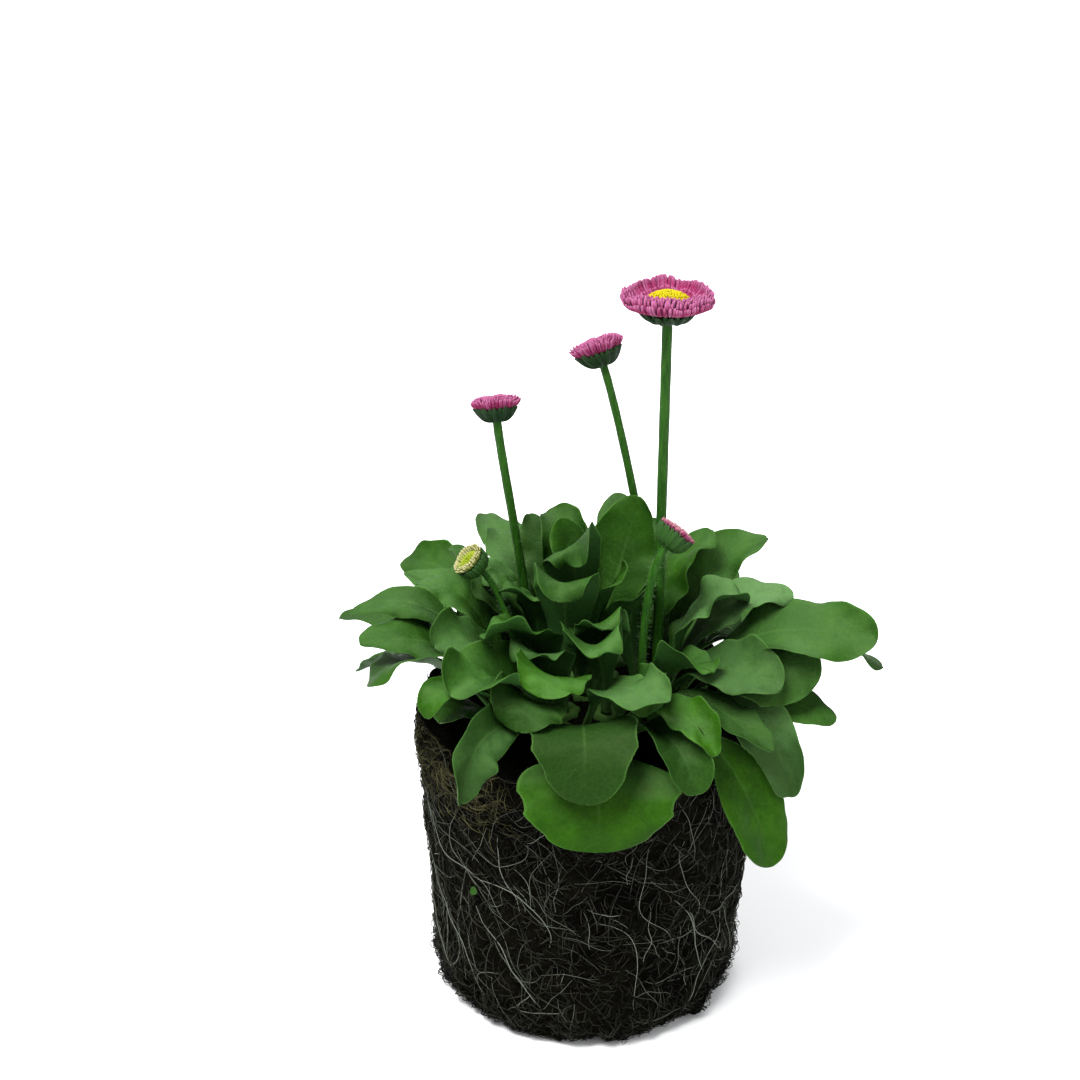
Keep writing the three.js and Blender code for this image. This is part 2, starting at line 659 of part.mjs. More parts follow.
// Flower stem: a cubic curve from the soil to the neck of the head, which it meets along the head's axis.
function stemCurve(head, frame, neck) {
  const foot = vector(head.base[0], head.base[1], SOIL - STUB_DEPTH);
  const top = frame.centre.clone().addScaledVector(frame.axis, -neck);
  const first = foot.clone().lerp(top, 0.4);
  first.x = 0.75 * foot.x + 0.25 * top.x;
  first.y = 0.75 * foot.y + 0.25 * top.y;
  const second = top.clone().addScaledVector(frame.axis, -12);
  return new THREE.CubicBezierCurve3(foot, first, second, top);
}

function greenOf(head) {
  const frame = headFrame(head);
  const form = FORMS[head.form];
  const stem = bar(stemCurve(head, frame, form.neck * head.size - 0.4), head.stem, 6, 7);
  return fuse([stem, cupOf(frame, form)]);
}

function raysOf(head) {
  const frame = headFrame(head);
  const form = FORMS[head.form];
  const seat = form.plug ? turned(frame, form.plug, 10) : collar(frame, form.collar, 12);
  const florets = form.rings.flatMap(([count, stations, turn], i) =>
    floretRing(frame, count, stations, 0.7, turn, 51 + 3 * i),
  );
  return fuse([seat, ...florets]);
}

function discOf(head) {
  return turned(headFrame(head), FORMS[head.form].disc, 14);
}

const blooms = HEADS.map((head) => {
  const green = greenOf(head);
  const rays = raysOf(head);
  const disc = FORMS[head.form].disc ? discOf(head) : null;
  return { head, green, rays, disc };
});

// Setting the leaves. Each tries its own place first, then places to the side, up or down on a widening spiral,
// until it is clear of all that stands there. A leaf that finds no clear place isn't grown. Leaves of one crown may
// meet near their roots.
const TRIES = 90;
const SWING_STEP = 1.76; // degrees of azimuth
const LIFT_STEP = 1.44;
const SPIRAL_TURN = 2.4; // radians
const TOUCH = 0.01; // shared volume that counts as clear
const CROWN_ZONE = { below: 10, above: 16, radius: 11 }; // where leaves of one crown may meet
const leaves = SHOWN_LEAVES.map((row, seed) => leafFrom(row, seed));
leaves.push(...backLeaves(leaves.length));
leaves.push(...youngLeaves(leaves.length));
for (const leaf of leaves) {
  giveRoot(leaf);
  leaf.rows = leaf.width < 12 ? 6 : leaf.width < 19 ? 7 : 8;
}

function boxed(solid, home) {
  return { solid, home, box: solid.boundingBox() };
}

function apart(a, b) {
  return [0, 1, 2].some((i) => a.min[i] > b.max[i] || b.min[i] > a.max[i]);
}

const standing = [];
for (const { green, rays, disc } of blooms) {
  standing.push(boxed(green, null), boxed(rays, null));
  if (disc) standing.push(boxed(disc, null));
}
standing.push(boxed(cylinder(0, 0, 0, SOIL + 0.2, 49.2, 48), null));
const homes = [...new Set(leaves.map((leaf) => leaf.home))];
for (const home of homes) {
  home.stubSolid = cylinder(home.at.x, home.at.y, SOIL - STUB_DEPTH, SOIL + ROOT_RISE + 0.4, home.stub, 8);
  standing.push(boxed(home.stubSolid, home));
  const { below, above, radius } = CROWN_ZONE;
  home.zone = cylinder(home.at.x, home.at.y, SOIL - below, SOIL + above, radius, 16);
}

function isClear(solid, home) {
  const box = solid.boundingBox();
  return standing.every((other) => {
    if (apart(box, other.box)) return true;
    const shared = solid.intersect(other.solid);
    const counted = other.home === home ? shared.subtract(home.zone) : shared;
    return counted.volume() < TOUCH;
  });
}

const grown = [];
for (const leaf of leaves) {
  for (let q = 0; q < TRIES; q++) {
    const swing = Math.sqrt(q);
    const moved = {
      ...leaf,
      azimuth: leaf.azimuth + SWING_STEP * swing * Math.cos(SPIRAL_TURN * q),
      height: leaf.height + LIFT_STEP * swing * Math.sin(SPIRAL_TURN * q),
    };
    if (!isClear(leafSolid(moved, GAP), leaf.home)) continue;
    const solid = leafSolid(moved);
    standing.push(boxed(solid, leaf.home));
    grown.push({ leaf, solid });
    break;
  }
}

for (const home of homes) {
  const own = grown.filter(({ leaf }) => leaf.home === home);
  if (!own.length) continue;
  home.used = true;
  const solids = own.map((entry) => entry.solid);
  const solid = home.lone ? solids[0] : fuse([home.stubSolid, ...solids]);
  addNode(foliage, home.name, solid, LEAF_GREEN, 0.5);
}

for (const { head, green, rays, disc } of blooms) {
  const bloom = new THREE.Group();
  bloom.name = "bloom_" + head.name;
  daisy.add(bloom);
  const rayColour = head.form === "young" ? PALE_YELLOW : PETAL_PINK;
  addNode(bloom, "stem_and_cup_" + head.name, green, STEM_GREEN, 0.5);
  addNode(bloom, "ray_florets_" + head.name, rays, rayColour, 0.6);
  if (disc) addNode(bloom, "disc_florets_" + head.name, disc, DISC_YELLOW, 0.7);
}

// Root ball: a turned block with a lightly uneven side, a rounded lower edge and a flat foot.
const BALL_SIDES = 32;
const BALL_TOP = 92.8;
const BALL_PROFILE = [
  [36.5, 0],
  [40.5, 1.2],
  [42.6, 5],
  [43.9, 14],
  [44.8, 34],
  [46.2, 55],
  [47.6, 74],
  [48.3, 85],
  [47, 91],
  [44, 92.8],
];

function ballRadius(z) {
  for (let i = 1; i < BALL_PROFILE.length; i++) {
    const [r0, z0] = BALL_PROFILE[i - 1];
    const [r1, z1] = BALL_PROFILE[i];
    if (z <= z1) return r0 + ((r1 - r0) * (z - z0)) / (z1 - z0);
  }
  return 0;
}

// Side relief: three sine waves that turn with height, none at the foot.
function sideRelief(angle, z) {
  const waves =
    0.45 * Math.sin(3 * angle + 0.05 * z) +
    0.35 * Math.sin(7 * angle - 0.11 * z + 1) +
    0.25 * Math.sin(13 * angle + 0.23 * z + 2);
  return waves * clamp(z / 12);
}

function ballSolid() {
  const outline = [[0, 0], ...BALL_PROFILE, [0, BALL_TOP]].map(([radius, z]) => new THREE.Vector2(radius, z));
  const geometry = new THREE.LatheGeometry(outline, BALL_SIDES);
  geometry.rotateX(Math.PI / 2);
  const places = geometry.attributes.position;
  for (let i = 0; i < places.count; i++) {
    const [x, y, z] = [places.getX(i), places.getY(i), places.getZ(i)];
    const radius = Math.hypot(x, y);
    if (radius < 1) continue;
    const scale = 1 + sideRelief(Math.atan2(y, x), z) / radius;
    places.setXYZ(i, x * scale, y * scale, z);
  }
  return solidFrom(geometry);
}

// Root strands lie on the side of the ball. Both ends dive into the soil and the middle stands a little off it.
const STRANDS = 7;
const STRAND_RADIUS = 0.5;

function strand(k) {
  const start = degrees(k * GOLDEN_ANGLE);
  const length = 16 + 22 * draw(k, 61);
  const slope = degrees(-75 + 150 * draw(k, 62));
  const low = 8 + 72 * draw(k, 63);
  const steps = 4;
  const path = [];
  for (let i = 0; i <= steps; i++) {
    const t = i / steps;
    const z = Math.min(Math.max(low + length * Math.sin(slope) * t, 6), 86);
    const angle = start + (length * Math.cos(slope) * t) / 46 + 0.05 * Math.sin(6 * t + k);
    const lift = -1.2 + 2 * Math.sin(Math.PI * t) ** 0.6;
    const r = ballRadius(z) + sideRelief(angle, z) + lift;
    path.push(vector(r * Math.cos(angle), r * Math.sin(angle), z));
  }
  return bar(new THREE.CatmullRomCurve3(path), STRAND_RADIUS, 3, steps);
}

// Plain round holes take the stubs and the flower stems.
function soilHoles() {
  const stubs = homes
    .filter((home) => home.used)
    .map((home) => {
      const radius = home.stub + GAP + (home.lone ? 0.5 : 0.2);
      return cylinder(home.at.x, home.at.y, SOIL - STUB_DEPTH - GAP, SOIL + 5, radius, home.lone ? 6 : 8);
    });
  const stems = HEADS.map(({ base, stem }) =>
    cylinder(base[0], base[1], SOIL - STUB_DEPTH - GAP, SOIL + 5, stem + 1.2, 6),
  );
  return wasm.Manifold.union([...stubs, ...stems]);
}

const strands = Array.from({ length: STRANDS }, (_, k) => strand(k));
const ball = fuse([ballSolid().subtract(soilHoles()), ...strands]);
addNode(daisy, "root_ball", ball, SOIL_BROWN, 0.95);

export default daisy;
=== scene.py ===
"""English daisy in bloom, lifted out of its pot with its ball of soil and roots.

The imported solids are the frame. A finer piece of the same form takes the place of each one. Bracts, fibres,
roots and a seed leaf are pieces of their own beside them. Lengths are in millimetres until a mesh is written,
in metres there.
"""
import itertools
import math

import bpy
import numpy as np
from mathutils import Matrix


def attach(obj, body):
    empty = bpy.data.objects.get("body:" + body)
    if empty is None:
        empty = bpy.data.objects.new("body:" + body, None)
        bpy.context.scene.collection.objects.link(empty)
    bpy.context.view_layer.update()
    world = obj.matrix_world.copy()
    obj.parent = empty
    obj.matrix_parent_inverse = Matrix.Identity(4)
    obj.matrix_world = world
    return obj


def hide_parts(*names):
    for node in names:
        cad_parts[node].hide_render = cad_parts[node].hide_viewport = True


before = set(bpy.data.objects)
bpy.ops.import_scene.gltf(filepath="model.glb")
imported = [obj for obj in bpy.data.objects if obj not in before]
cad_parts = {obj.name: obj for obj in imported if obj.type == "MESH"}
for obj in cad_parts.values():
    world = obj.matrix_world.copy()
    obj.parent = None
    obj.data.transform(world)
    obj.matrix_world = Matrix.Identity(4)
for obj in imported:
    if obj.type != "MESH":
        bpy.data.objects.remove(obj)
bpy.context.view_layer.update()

MM = 0.001
SOIL = 93.0  # height of the soil surface
ROOT_RISE = 1.4  # leaves start this far above the soil
GOLDEN = 137.508  # degrees between leaves or florets that follow each other


# Numbers that repeat

def scatter(x):
    """The fraction of a large multiple of a sine: from 0 to 1, and different for every x."""
    x = np.sin(x) * 43758.5453
    return x - np.floor(x)


def draw(k, use):
    """A repeatable draw from 0 to 1 for item k. Each use gives it another one."""
    return scatter(np.asarray(k, float) * 12.9898 + use * 78.233)


def spread(k, use, low, high):
    """The same draw, scaled to run from low to high."""
    return low + (high - low) * draw(k, use)


def clamp(x):
    """Values held between 0 and 1."""
    return np.clip(x, 0.0, 1.0)


def smooth(x):
    """The S curve 3x^2 - 2x^3 between 0 and 1."""
    x = clamp(x)
    return x * x * (3 - 2 * x)


def unit(v):
    """Vectors divided by their length."""
    return v / np.maximum(np.linalg.norm(v, axis=-1, keepdims=True), 1e-9)


def heading(azimuth):
    """The horizontal unit vector at an azimuth in degrees: 0 is the front, 90 the right."""
    a = np.radians(azimuth)
    return np.stack([np.sin(a), -np.cos(a), 0 * a], -1)


def cubic(steers, u):
    """Points on the cubic curve of four steering points, for u from 0 at the first to 1 at the last."""
    start, first, second, end = steers
    u = u[:, None]
    return start * (1 - u) ** 3 + first * 3 * u * (1 - u) ** 2 + second * 3 * u * u * (1 - u) + end * u ** 3


def round_about(count):
    """Angles of a number of even steps round a circle."""
    return np.linspace(0, 2 * math.pi, count, endpoint=False)


def lumps(points, size, use):
    """Smooth noise from -1 to 1 with lumps of one size. Each corner of a grid of cubes has its own draw, and
    the eight of a cube are blended over it by S curves."""
    p = points / size
    low = np.floor(p)
    f = p - low
    f = f * f * (3 - 2 * f)
    total = 0
    for corner in itertools.product((0, 1), repeat=3):
        share = np.where(corner, f, 1 - f).prod(axis=-1)
        i, j, k = np.moveaxis(low + corner, -1, 0)
        total = total + share * scatter(i * 127.1 + j * 311.7 + k * 74.7 + use * 19.19)
    return 2 * total - 1


# Meshes

def add_piece(name, parts, finish, stands_for=()):
    """One mesh piece from parts. Each part gives points, faces by their count of corners, a UV for each
    point and shades, named numbers for each point."""
    points = np.concatenate([part["points"] for part in parts])
    uv = np.concatenate([part["uv"] for part in parts])
    starts = np.cumsum([0] + [len(part["points"]) for part in parts])
    groups = [faces + start for part, start in zip(parts, starts) for faces in part["faces"]]
    corners = np.concatenate([faces.ravel() for faces in groups])
    counts = np.concatenate([np.full(len(faces), faces.shape[1]) for faces in groups])
    mesh = bpy.data.meshes.new(name)
    mesh.vertices.add(len(points))
    mesh.vertices.foreach_set("co", (points * MM).ravel())
    mesh.loops.add(len(corners))
    mesh.loops.foreach_set("vertex_index", corners.astype(np.int32))
    mesh.polygons.add(len(counts))
    mesh.polygons.foreach_set("loop_start", (np.cumsum(counts) - counts).astype(np.int32))
    mesh.polygons.foreach_set("use_smooth", np.ones(len(counts), bool))
    mesh.update(calc_edges=True)
    mesh.uv_layers.new(name="along").data.foreach_set("uv", uv[corners].ravel())
    for key in parts[0]["shades"]:
        values = np.concatenate([part["shades"][key] for part in parts])
        mesh.attributes.new(key, "FLOAT", "POINT").data.foreach_set("value", values)
    mesh.materials.append(finish)
    piece = bpy.data.objects.new(name, mesh)
    bpy.context.scene.collection.objects.link(piece)
    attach(piece, "root")
    if stands_for:
        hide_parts(*stands_for)


def skin(rings, u, v, **shades):
    """The part of a mesh that wraps rings. Rings has the shape items, rows, corners, 3. Neighbouring rows
    are joined by quads and each end is closed by one face. U, v and the shades broadcast to items, rows,
    corners."""
    shape = rings.shape[:3]
    index = np.arange(rings[..., 0].size).reshape(shape)
    after = np.roll(index, -1, axis=2)
    quads = np.stack([index[:, :-1], after[:, :-1], after[:, 1:], index[:, 1:]], -1).reshape(-1, 4)
    ends = np.concatenate([index[:, 0, ::-1], index[:, -1]])
    uv = np.stack([np.broadcast_to(u, shape), np.broadcast_to(v, shape)], -1).reshape(-1, 2)
    shades = {key: np.broadcast_to(value, shape).ravel() for key, value in shades.items()}
    return {"points": rings.reshape(-1, 3), "faces": [quads, ends], "uv": uv, "shades": shades}


def round_trip(lower, upper):
    """Values across the lower face of a blade and then back across the upper one. They meet at the
    margins."""
    return np.concatenate([lower, upper[..., -2:0:-1]], axis=-1)


def lower_face(columns):
    """1 on the lower face of a blade and 0 on the upper one."""
    return round_trip(np.ones(columns), np.zeros(columns))


def blade_part(middle, thickness, u, v, **shades):
    """A thin blade. Its middle surface has the shape items, rows, columns, 3. Both faces stand off it by
    half the thickness along its normal, less and less towards the margins, by the root of 1 - v^6, where
    they meet. U runs along the blade and v across it, from -1 to 1."""
    normal = unit(np.cross(np.gradient(middle, axis=1), np.gradient(middle, axis=2)))
    rounding = np.sqrt(np.maximum(1 - np.abs(v) ** 6, 0))
    rise = normal * (thickness * rounding / 2)[..., None]
    upper = middle + rise
    rings = np.concatenate([middle - rise, upper[:, :, -2:0:-1]], axis=2)
    return skin(rings, u[None, :, None], 0.5 + 0.5 * round_trip(v, v), **shades)


def tube(path, radius, corners):
    """Rings round paths. Path has the shape items, rows, 3 and radius broadcasts to items, rows. Side
    vectors are square to the path and to a reference that is least like it."""
    tangent = unit(np.gradient(path, axis=1))
    mean = np.abs(tangent).mean(axis=1)
    reference = np.eye(3)[np.argmin(mean, axis=-1)][:, None, :]
    across = unit(np.cross(tangent, reference))
    over = np.cross(tangent, across)
    turn = np.arange(corners) * 2 * math.pi / corners
    r = np.broadcast_to(radius, path.shape[:2])[..., None, None]
    ring = np.cos(turn)[:, None] * across[:, :, None] + np.sin(turn)[:, None] * over[:, :, None]
    return path[:, :, None] + r * ring


def upright_points(radius, height, angle):
    """Points about the upright axis from their radius, height and angle."""
    return np.stack([radius * np.cos(angle), radius * np.sin(angle), height], -1)


# Shader maths

class Value:
    """Wraps a node's output so that Python's arithmetic adds Math nodes."""

    def __init__(self, finish, socket):
        self.finish = finish
        self.socket = socket

    def math(self, operation, *others):
        """A Math node on this value and others."""
        return self.finish.add("ShaderNodeMath", {"operation": operation}, dict(enumerate([self, *others])))

    def __add__(self, other):
        return self.math("ADD", other)

    def __sub__(self, other):
        return self.math("SUBTRACT", other)

    def __mul__(self, other):
        return self.math("MULTIPLY", other)

    def __rsub__(self, other):
        return (self * -1) + other

    __radd__ = __add__
    __rmul__ = __mul__


class Finish:
    """A material and its nodes."""

    def __init__(self, name):
        self.material = bpy.data.materials.new(name)
        self.material.use_nodes = True
        self.nodes = self.material.node_tree.nodes
        self.links = self.material.node_tree.links
        self.nodes.clear()

    def add(self, kind, settings=None, inputs=None, output=0):
        """Any node, from its type, its settings and the values or links of its inputs."""
        node = self.nodes.new(kind)
        for key, value in (settings or {}).items():
            setattr(node, key, value)
        for key, value in (inputs or {}).items():
            self.feed(node.inputs[key], value)
        return Value(self, node.outputs[output]) if node.outputs else None

    def feed(self, socket, value):
        """Links an input to a value that is worked out, or sets it. A colour of three numbers is opaque."""
        if isinstance(value, Value):
            self.links.new(value.socket, socket)
        elif isinstance(value, tuple) and len(value) == 3 and len(socket.default_value) == 4:
            socket.default_value = (*value, 1)
        else:
            socket.default_value = value

    def uv(self):
        """The two coordinates of the piece's own UV map."""
        place = self.add("ShaderNodeUVMap", {"uv_map": "along"})
        parts = self.add("ShaderNodeSeparateXYZ", None, {0: place})
        return parts, Value(self, parts.socket.node.outputs[1])

    def place(self):
        """Object coordinates."""
        return self.add("ShaderNodeTexCoord", output=3)

    def shade(self, name):
        """A named number of the mesh."""
        return self.add("ShaderNodeAttribute", {"attribute_name": name}, output=2)

    def stretched(self, place, scale, rotation=(0.0, 0.0, 0.0)):
        """Coordinates that are turned and scaled, for a pattern that is drawn out one way."""
        return self.add("ShaderNodeMapping", None, {"Vector": place, "Rotation": rotation, "Scale": scale})

    def noise(self, place, size, detail=3.0, roughness=0.55):
        """Noise from 0 to 1 with features of a size in millimetres."""
        inputs = {"Vector": place, "Scale": 1 / (size * MM), "Detail": detail, "Roughness": roughness}
        return self.add("ShaderNodeTexNoise", None, inputs)

    def step(self, value, low, high):
        """0 below low, 1 above high and an S curve between."""
        inputs = {"Value": value, "From Min": low, "From Max": high}
        return self.add("ShaderNodeMapRange", {"interpolation_type": "SMOOTHSTEP"}, inputs)

    def blend(self, factor, first, second):
        """The first colour where the factor is 0 and the second where it is 1."""
        return self.add("ShaderNodeMix", {"data_type": "RGBA"}, {0: factor, 6: first, 7: second}, output=2)

    def layers(self, colour, *coats):
        """A colour with coats over it, each with its factor and its own colour."""
        for factor, coat in coats:
            colour = self.blend(factor, colour, coat)
        return colour

    def bump(self, height, depth, strength):
        """A bump of a height from 0 to 1, its depth in millimetres."""
        inputs = {"Height": height, "Distance": depth * MM, "Strength": strength}
        return self.add("ShaderNodeBump", None, inputs)

    def finish(self, colour, roughness, normal=None, flesh=None, **settings):
        """The surface: its colour, roughness and bump. Flesh is how light spreads inside it: its weight, its
        reach in red, green and blue, and the scale of that in millimetres. Settings are the same all
        over."""
        inputs = {"Base Color": colour, "Roughness": roughness}
        if normal is not None:
            inputs["Normal"] = normal
        if flesh:
            weight, reach, scale = flesh
            inputs["Subsurface Weight"] = weight
            inputs["Subsurface Radius"] = reach
            inputs["Subsurface Scale"] = scale * MM
        for key, value in settings.items():
            inputs[key.replace("_", " ")] = value
        surface = self.add("ShaderNodeBsdfPrincipled", None, inputs)
        self.add("ShaderNodeOutputMaterial", None, {0: surface})
        return self.material


# Leaves

# The leaves that the photo shows, as the part's source lists them: name, azimuth of the tip, its reach from
# the axis, its height over the soil, width, slope of the tip, roll, fold, height of the edge waves, yaw of
# the tip, and for a drooping leaf where it is widest and how long its tip bends.
SHOWN_LEAVES = [
    ["front_low", 2, 57, -20, 45, -82, 0, 5, 0.6, 0, 0.55, 0.62],
    ["front_round", 0, 58, 1, 30, -76, 4, 8, 0.7, 0, 0.62, 0.92],
    ["front_right_hanging", 50, 69, -28, 22, -62, 8, 14, 0.8, -6, 0.76, 0.55],
    ["front_right_short", 29, 62, 2, 17, -72, 14, 40, 0.8, 0, 0.66, 0.5],
    ["right_hanging", 59, 66, -12, 17, -86, 62, 24, 2.2, 8, 0.6, 0.8],
    ["left_curled", -31, 66, 0, 16, -82, -70, 34, 2.6, 0, 0.6, 0.7],
    ["middle_1", -16, 46, 27, 22, -48, -14, 14, 2.2, -12],
    ["front_crossing", 27, 51, 28, 16, -18, 4, 8, 2.6, 64],
    ["middle_3", -39, 58, 33, 25, -10, -15, 40, 3.6, 0],
    ["middle_4", 5, 36, 35, 20, 0, 20, 40, 4.2, 0],
    ["middle_5", -4, 16, 52, 18, -45, 38, 12, 1.6, 30],
    ["middle_6", 87, 58, 35, 15, -15, 10, 10, 1.7, 0],
    ["right_far", 76, 83, 31, 22, -8, 30, 14, 3.0, 0],
    ["right_flat", 68, 67, 17, 25, -45, 35, 10, 1.4, 0],
    ["middle_7", 70, 62, 17, 20, -20, 20, 30, 2.0, 0],
    ["middle_8", -79, 67, 34, 12, -30, 0, 8, 1.3, 0],
    ["left_flat", -67, 68, 35, 18, 0, -15, 15, 1.4, 0],
    ["middle_9", -58, 48, 30, 18, -20, -20, 22, 2.4, 0],
    ["middle_10", 143, 24, 54, 21, 70, 10, 8, 1.3, 0],
    ["middle_11", -19, 25, 45, 19, -50, 0, 20, 2.4, 0],
    ["middle_12", 23, 18, 44, 15, 0, 0, 35, 2, 0],
    ["middle_13", 85, 66, 30, 21, -5, 25, 8, 2.3, 0],
    ["middle_14", 50, 46, 20, 19, 5, -20, 50, 2.0, 0],
    ["middle_15", 36, 62, 9, 13, -45, 10, 30, 1.6, 0],
    ["left_small", -43, 62, 23, 11, -75, 0, 10, 0.5, 0],
    ["front_left_shaded", -26, 50, 11, 22, -62, -10, 12, 2.0, 0, 0.7, 0.6],
    ["left_drooping", -63, 68, 24, 25, -50, 28, 10, 1.8, 0],
    ["middle_16", -87, 48, 34, 16, -10, 0, 12, 2.3, 0],
    ["middle_17", 89, 24, 42, 16, 70, 20, 15, 1.1, 0],
    ["middle_18", 88, 38, 34, 16, 45, 0, 15, 1.3, 0],
    ["right_tip", 82, 84, 17, 15, -35, -30, 20, 1.6, 0],
    ["right_low", 67, 74, 9, 15, -20, 10, 5, 0.6, 0],
    ["middle_20", 62, 66, 12, 12, -20, 0, 20, 1.1, 0],
    ["middle_21", -159, 28, 46, 15, 0, 0, 12, 2, 0],
    ["middle_22", -147, 14, 51, 16, 60, 10, 25, 1.3, 0],
    ["middle_23", -151, 34, 42, 15, 35, 0, 10, 1.7, 0],
    ["middle_24", -124, 40, 42, 16, 20, -20, 15, 1.7, 0],
    ["middle_25", -112, 30, 36, 17, 20, 10, 12, 1.7, 0],
    ["middle_27", -31, 36, 26, 18, -10, 10, 20, 2.3, 0],
    ["middle_28", 46, 48, 7, 17, 0, 15, 45, 2.4, 0],
    ["middle_29", 50, 34, 27, 17, 10, 20, 20, 2, 0],
    ["left_low", -50, 53, 12, 18, -40, 10, 10, 1.0, 0],
    ["middle_30", -11, 40, 20, 21, -20, 0, 8, 2.3, 0],
    ["front_right_low", 34, 56, -3, 17, -50, 0, 10, 0.8, 0],
    ["middle_31", -78, 58, 20, 20, -30, 15, 10, 2.3, 0],
    ["middle_32", 64, 52, 27, 18, -10, -20, 15, 2.3, 0],
    ["middle_33", 2, 27, 41, 17, 5, 20, 15, 2.7, 0],
    ["middle_34", -34, 20, 46, 15, 40, -20, 20, 2, 0],
    ["middle_35", 44, 16, 48, 15, 50, 20, 20, 1.7, 0],
    ["middle_36", 112, 42, 42, 20, 20, -20, 12, 2.3, 0],
    ["middle_37", 80, 46, 30, 20, -20, -15, 20, 2.6, 0],
    ["middle_38", 58, 28, 37, 18, 20, -20, 20, 2.4, 0],
    ["middle_39", -62, 26, 36, 18, 10, 15, 18, 2.4, 0],
    ["middle_40", 72, 20, 40, 16, 40, 0, 20, 2, 0],
    ["middle_41", -72, 38, 40, 18, -10, -20, 15, 2.4, 0],
    ["middle_42", 30, 44, 18, 18, -20, 30, 25, 3, 20],
    ["middle_43", -28, 44, 16, 18, -30, 20, 20, 3, 0],
    ["middle_44", 0, 46, 24, 18, -10, -20, 30, 3, 20],
    ["middle_45", -8, 30, 32, 18, 0, 20, 30, 3, 0],
    ["middle_46", 88, 44, 19, 18, -10, 0, 15, 2.4, 0],
    ["middle_47", -50, 40, 32, 18, -10, 20, 20, 3, 0],
    ["middle_48", 126, 44, 22, 21, -5, 0, 10, 2.4, 0],
    ["middle_49", 106, 54, 20, 21, -10, 0, 10, 2.4, 0],
    ["middle_50", -120, 42, 22, 20, -5, 0, 10, 2.4, 0],
    ["middle_51", 84, 64, 40, 20, -25, 15, 12, 3, 0],
]
LEAF_KEYS = [
    "name", "azimuth", "reach", "height", "width", "tip", "roll", "fold", "wave", "yaw", "widest", "bow"]

# Outer leaves that stand alone in the soil: azimuth and radius of the root.
LONE_ROOTS = {
    "front_low": (7, 33),
    "front_round": (-4, 26),
    "front_crossing": (0, 19),
    "front_right_hanging": (42, 34),
    "front_right_short": (27, 27),
    "right_hanging": (57, 27),
    "left_curled": (-27, 28),
    "right_flat": (70, 28),
    "right_far": (80, 26),
    "right_tip": (88, 32),
    "left_flat": (-68, 27),
    "left_drooping": (-57, 29),
    "right_low": (66, 34),
    "front_left_shaded": (-20, 27),
    "left_small": (-41, 27),
    "front_right_low": (36, 32),
    "left_low": (-48, 32),
}

# How a leaf looks, where it isn't drawn: how yellow-green it is, how grey, and how dark, which is painted
# shade where other leaves shade it.
LOOKS = {
    "front_low": (1.0, 0.0, 0.4),
    "front_round": (0.1, 0.0, 1.0),
    "front_right_hanging": (0.95, 0.0, 0.1),
    "front_right_short": (0.1, 0.1, 0.6),
    "front_left_shaded": (0.0, 0.0, 0.6),
    "front_crossing": (0.25, 0.4, 0.0),
    "left_curled": (0.0, 0.45, 0.35),
    "left_small": (0.5, 0.0, 0.0),
    "right_hanging": (0.0, 0.75, 0.2),
    "right_tip": (0.0, 0.6, 0.3),
    "right_flat": (0.1, 0.2, 0.3),
    "right_far": (0.3, 0.1, 0.15),
    "middle_1": (0.75, 0.05, 0.0),
    "middle_3": (0.4, 0.15, 0.0),
    "middle_4": (0.3, 0.2, 0.0),
    "middle_6": (0.0, 0.9, 0.0),
    "middle_7": (0.0, 0.45, 0.2),
    "middle_10": (0.2, 0.0, 0.45),
    "middle_14": (0.5, 0.1, 0.1),
    "middle_15": (0.9, 0.0, 0.0),
    "middle_37": (0.1, 0.5, 0.0),
}

# The way to the light above. A leaf gets a painted highlight where it faces it and painted shade where it
# turns from it.
LIGHT_ABOVE = unit(np.array([-0.15, -0.25, 1.0]))

# Crowns round the middle one: their count, the azimuth of the first and their radius.
CROWN_RINGS = {"inner": (6, 30, 11), "outer": (8, 22, 20)}
CROWN_MOUND = 4  # the radius of the mound that its stalks leave
STALK_RADIUS = 2.6  # from the middle of a crown to the root of its leaves

# Slopes in degrees, from the middle of the soil up to a leaf's tip. Leaves over the first belong to the
# middle crown and leaves over the second to an inner one. Leaves of the hidden side under the third stand
# alone.
MIDDLE_SLOPE = 66
INNER_SLOPE = 36
LONE_SLOPE = 12
LONE_RADII = (27, 33)  # radii of their roots, by turns

# Each leaf tries places for its tip on a spiral: how many, its turn from one to the next in radians, and how
# wide it is after one, in degrees of azimuth and in height.
TRIES = 90
TRY_TURN = 2.4
TRY_DEGREES = 1.76
TRY_HEIGHT = 1.44
TIP_MISS = 0.05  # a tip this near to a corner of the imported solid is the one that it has

BACK_LEAVES = 24
BACK_FROM = 92  # degrees from the front
YOUNG_LEAVES = 6
LEAF_COLUMNS = 17
LEAF_ROWS = 46
LEAF_THICKNESS = 0.5


def make_leaf(seed, **sizes):
    """A leaf's sizes, with where it is widest and how long its tip bends when these aren't given."""
    return {"seed": seed, "widest": 0.66, "bow": 0.42, **sizes}


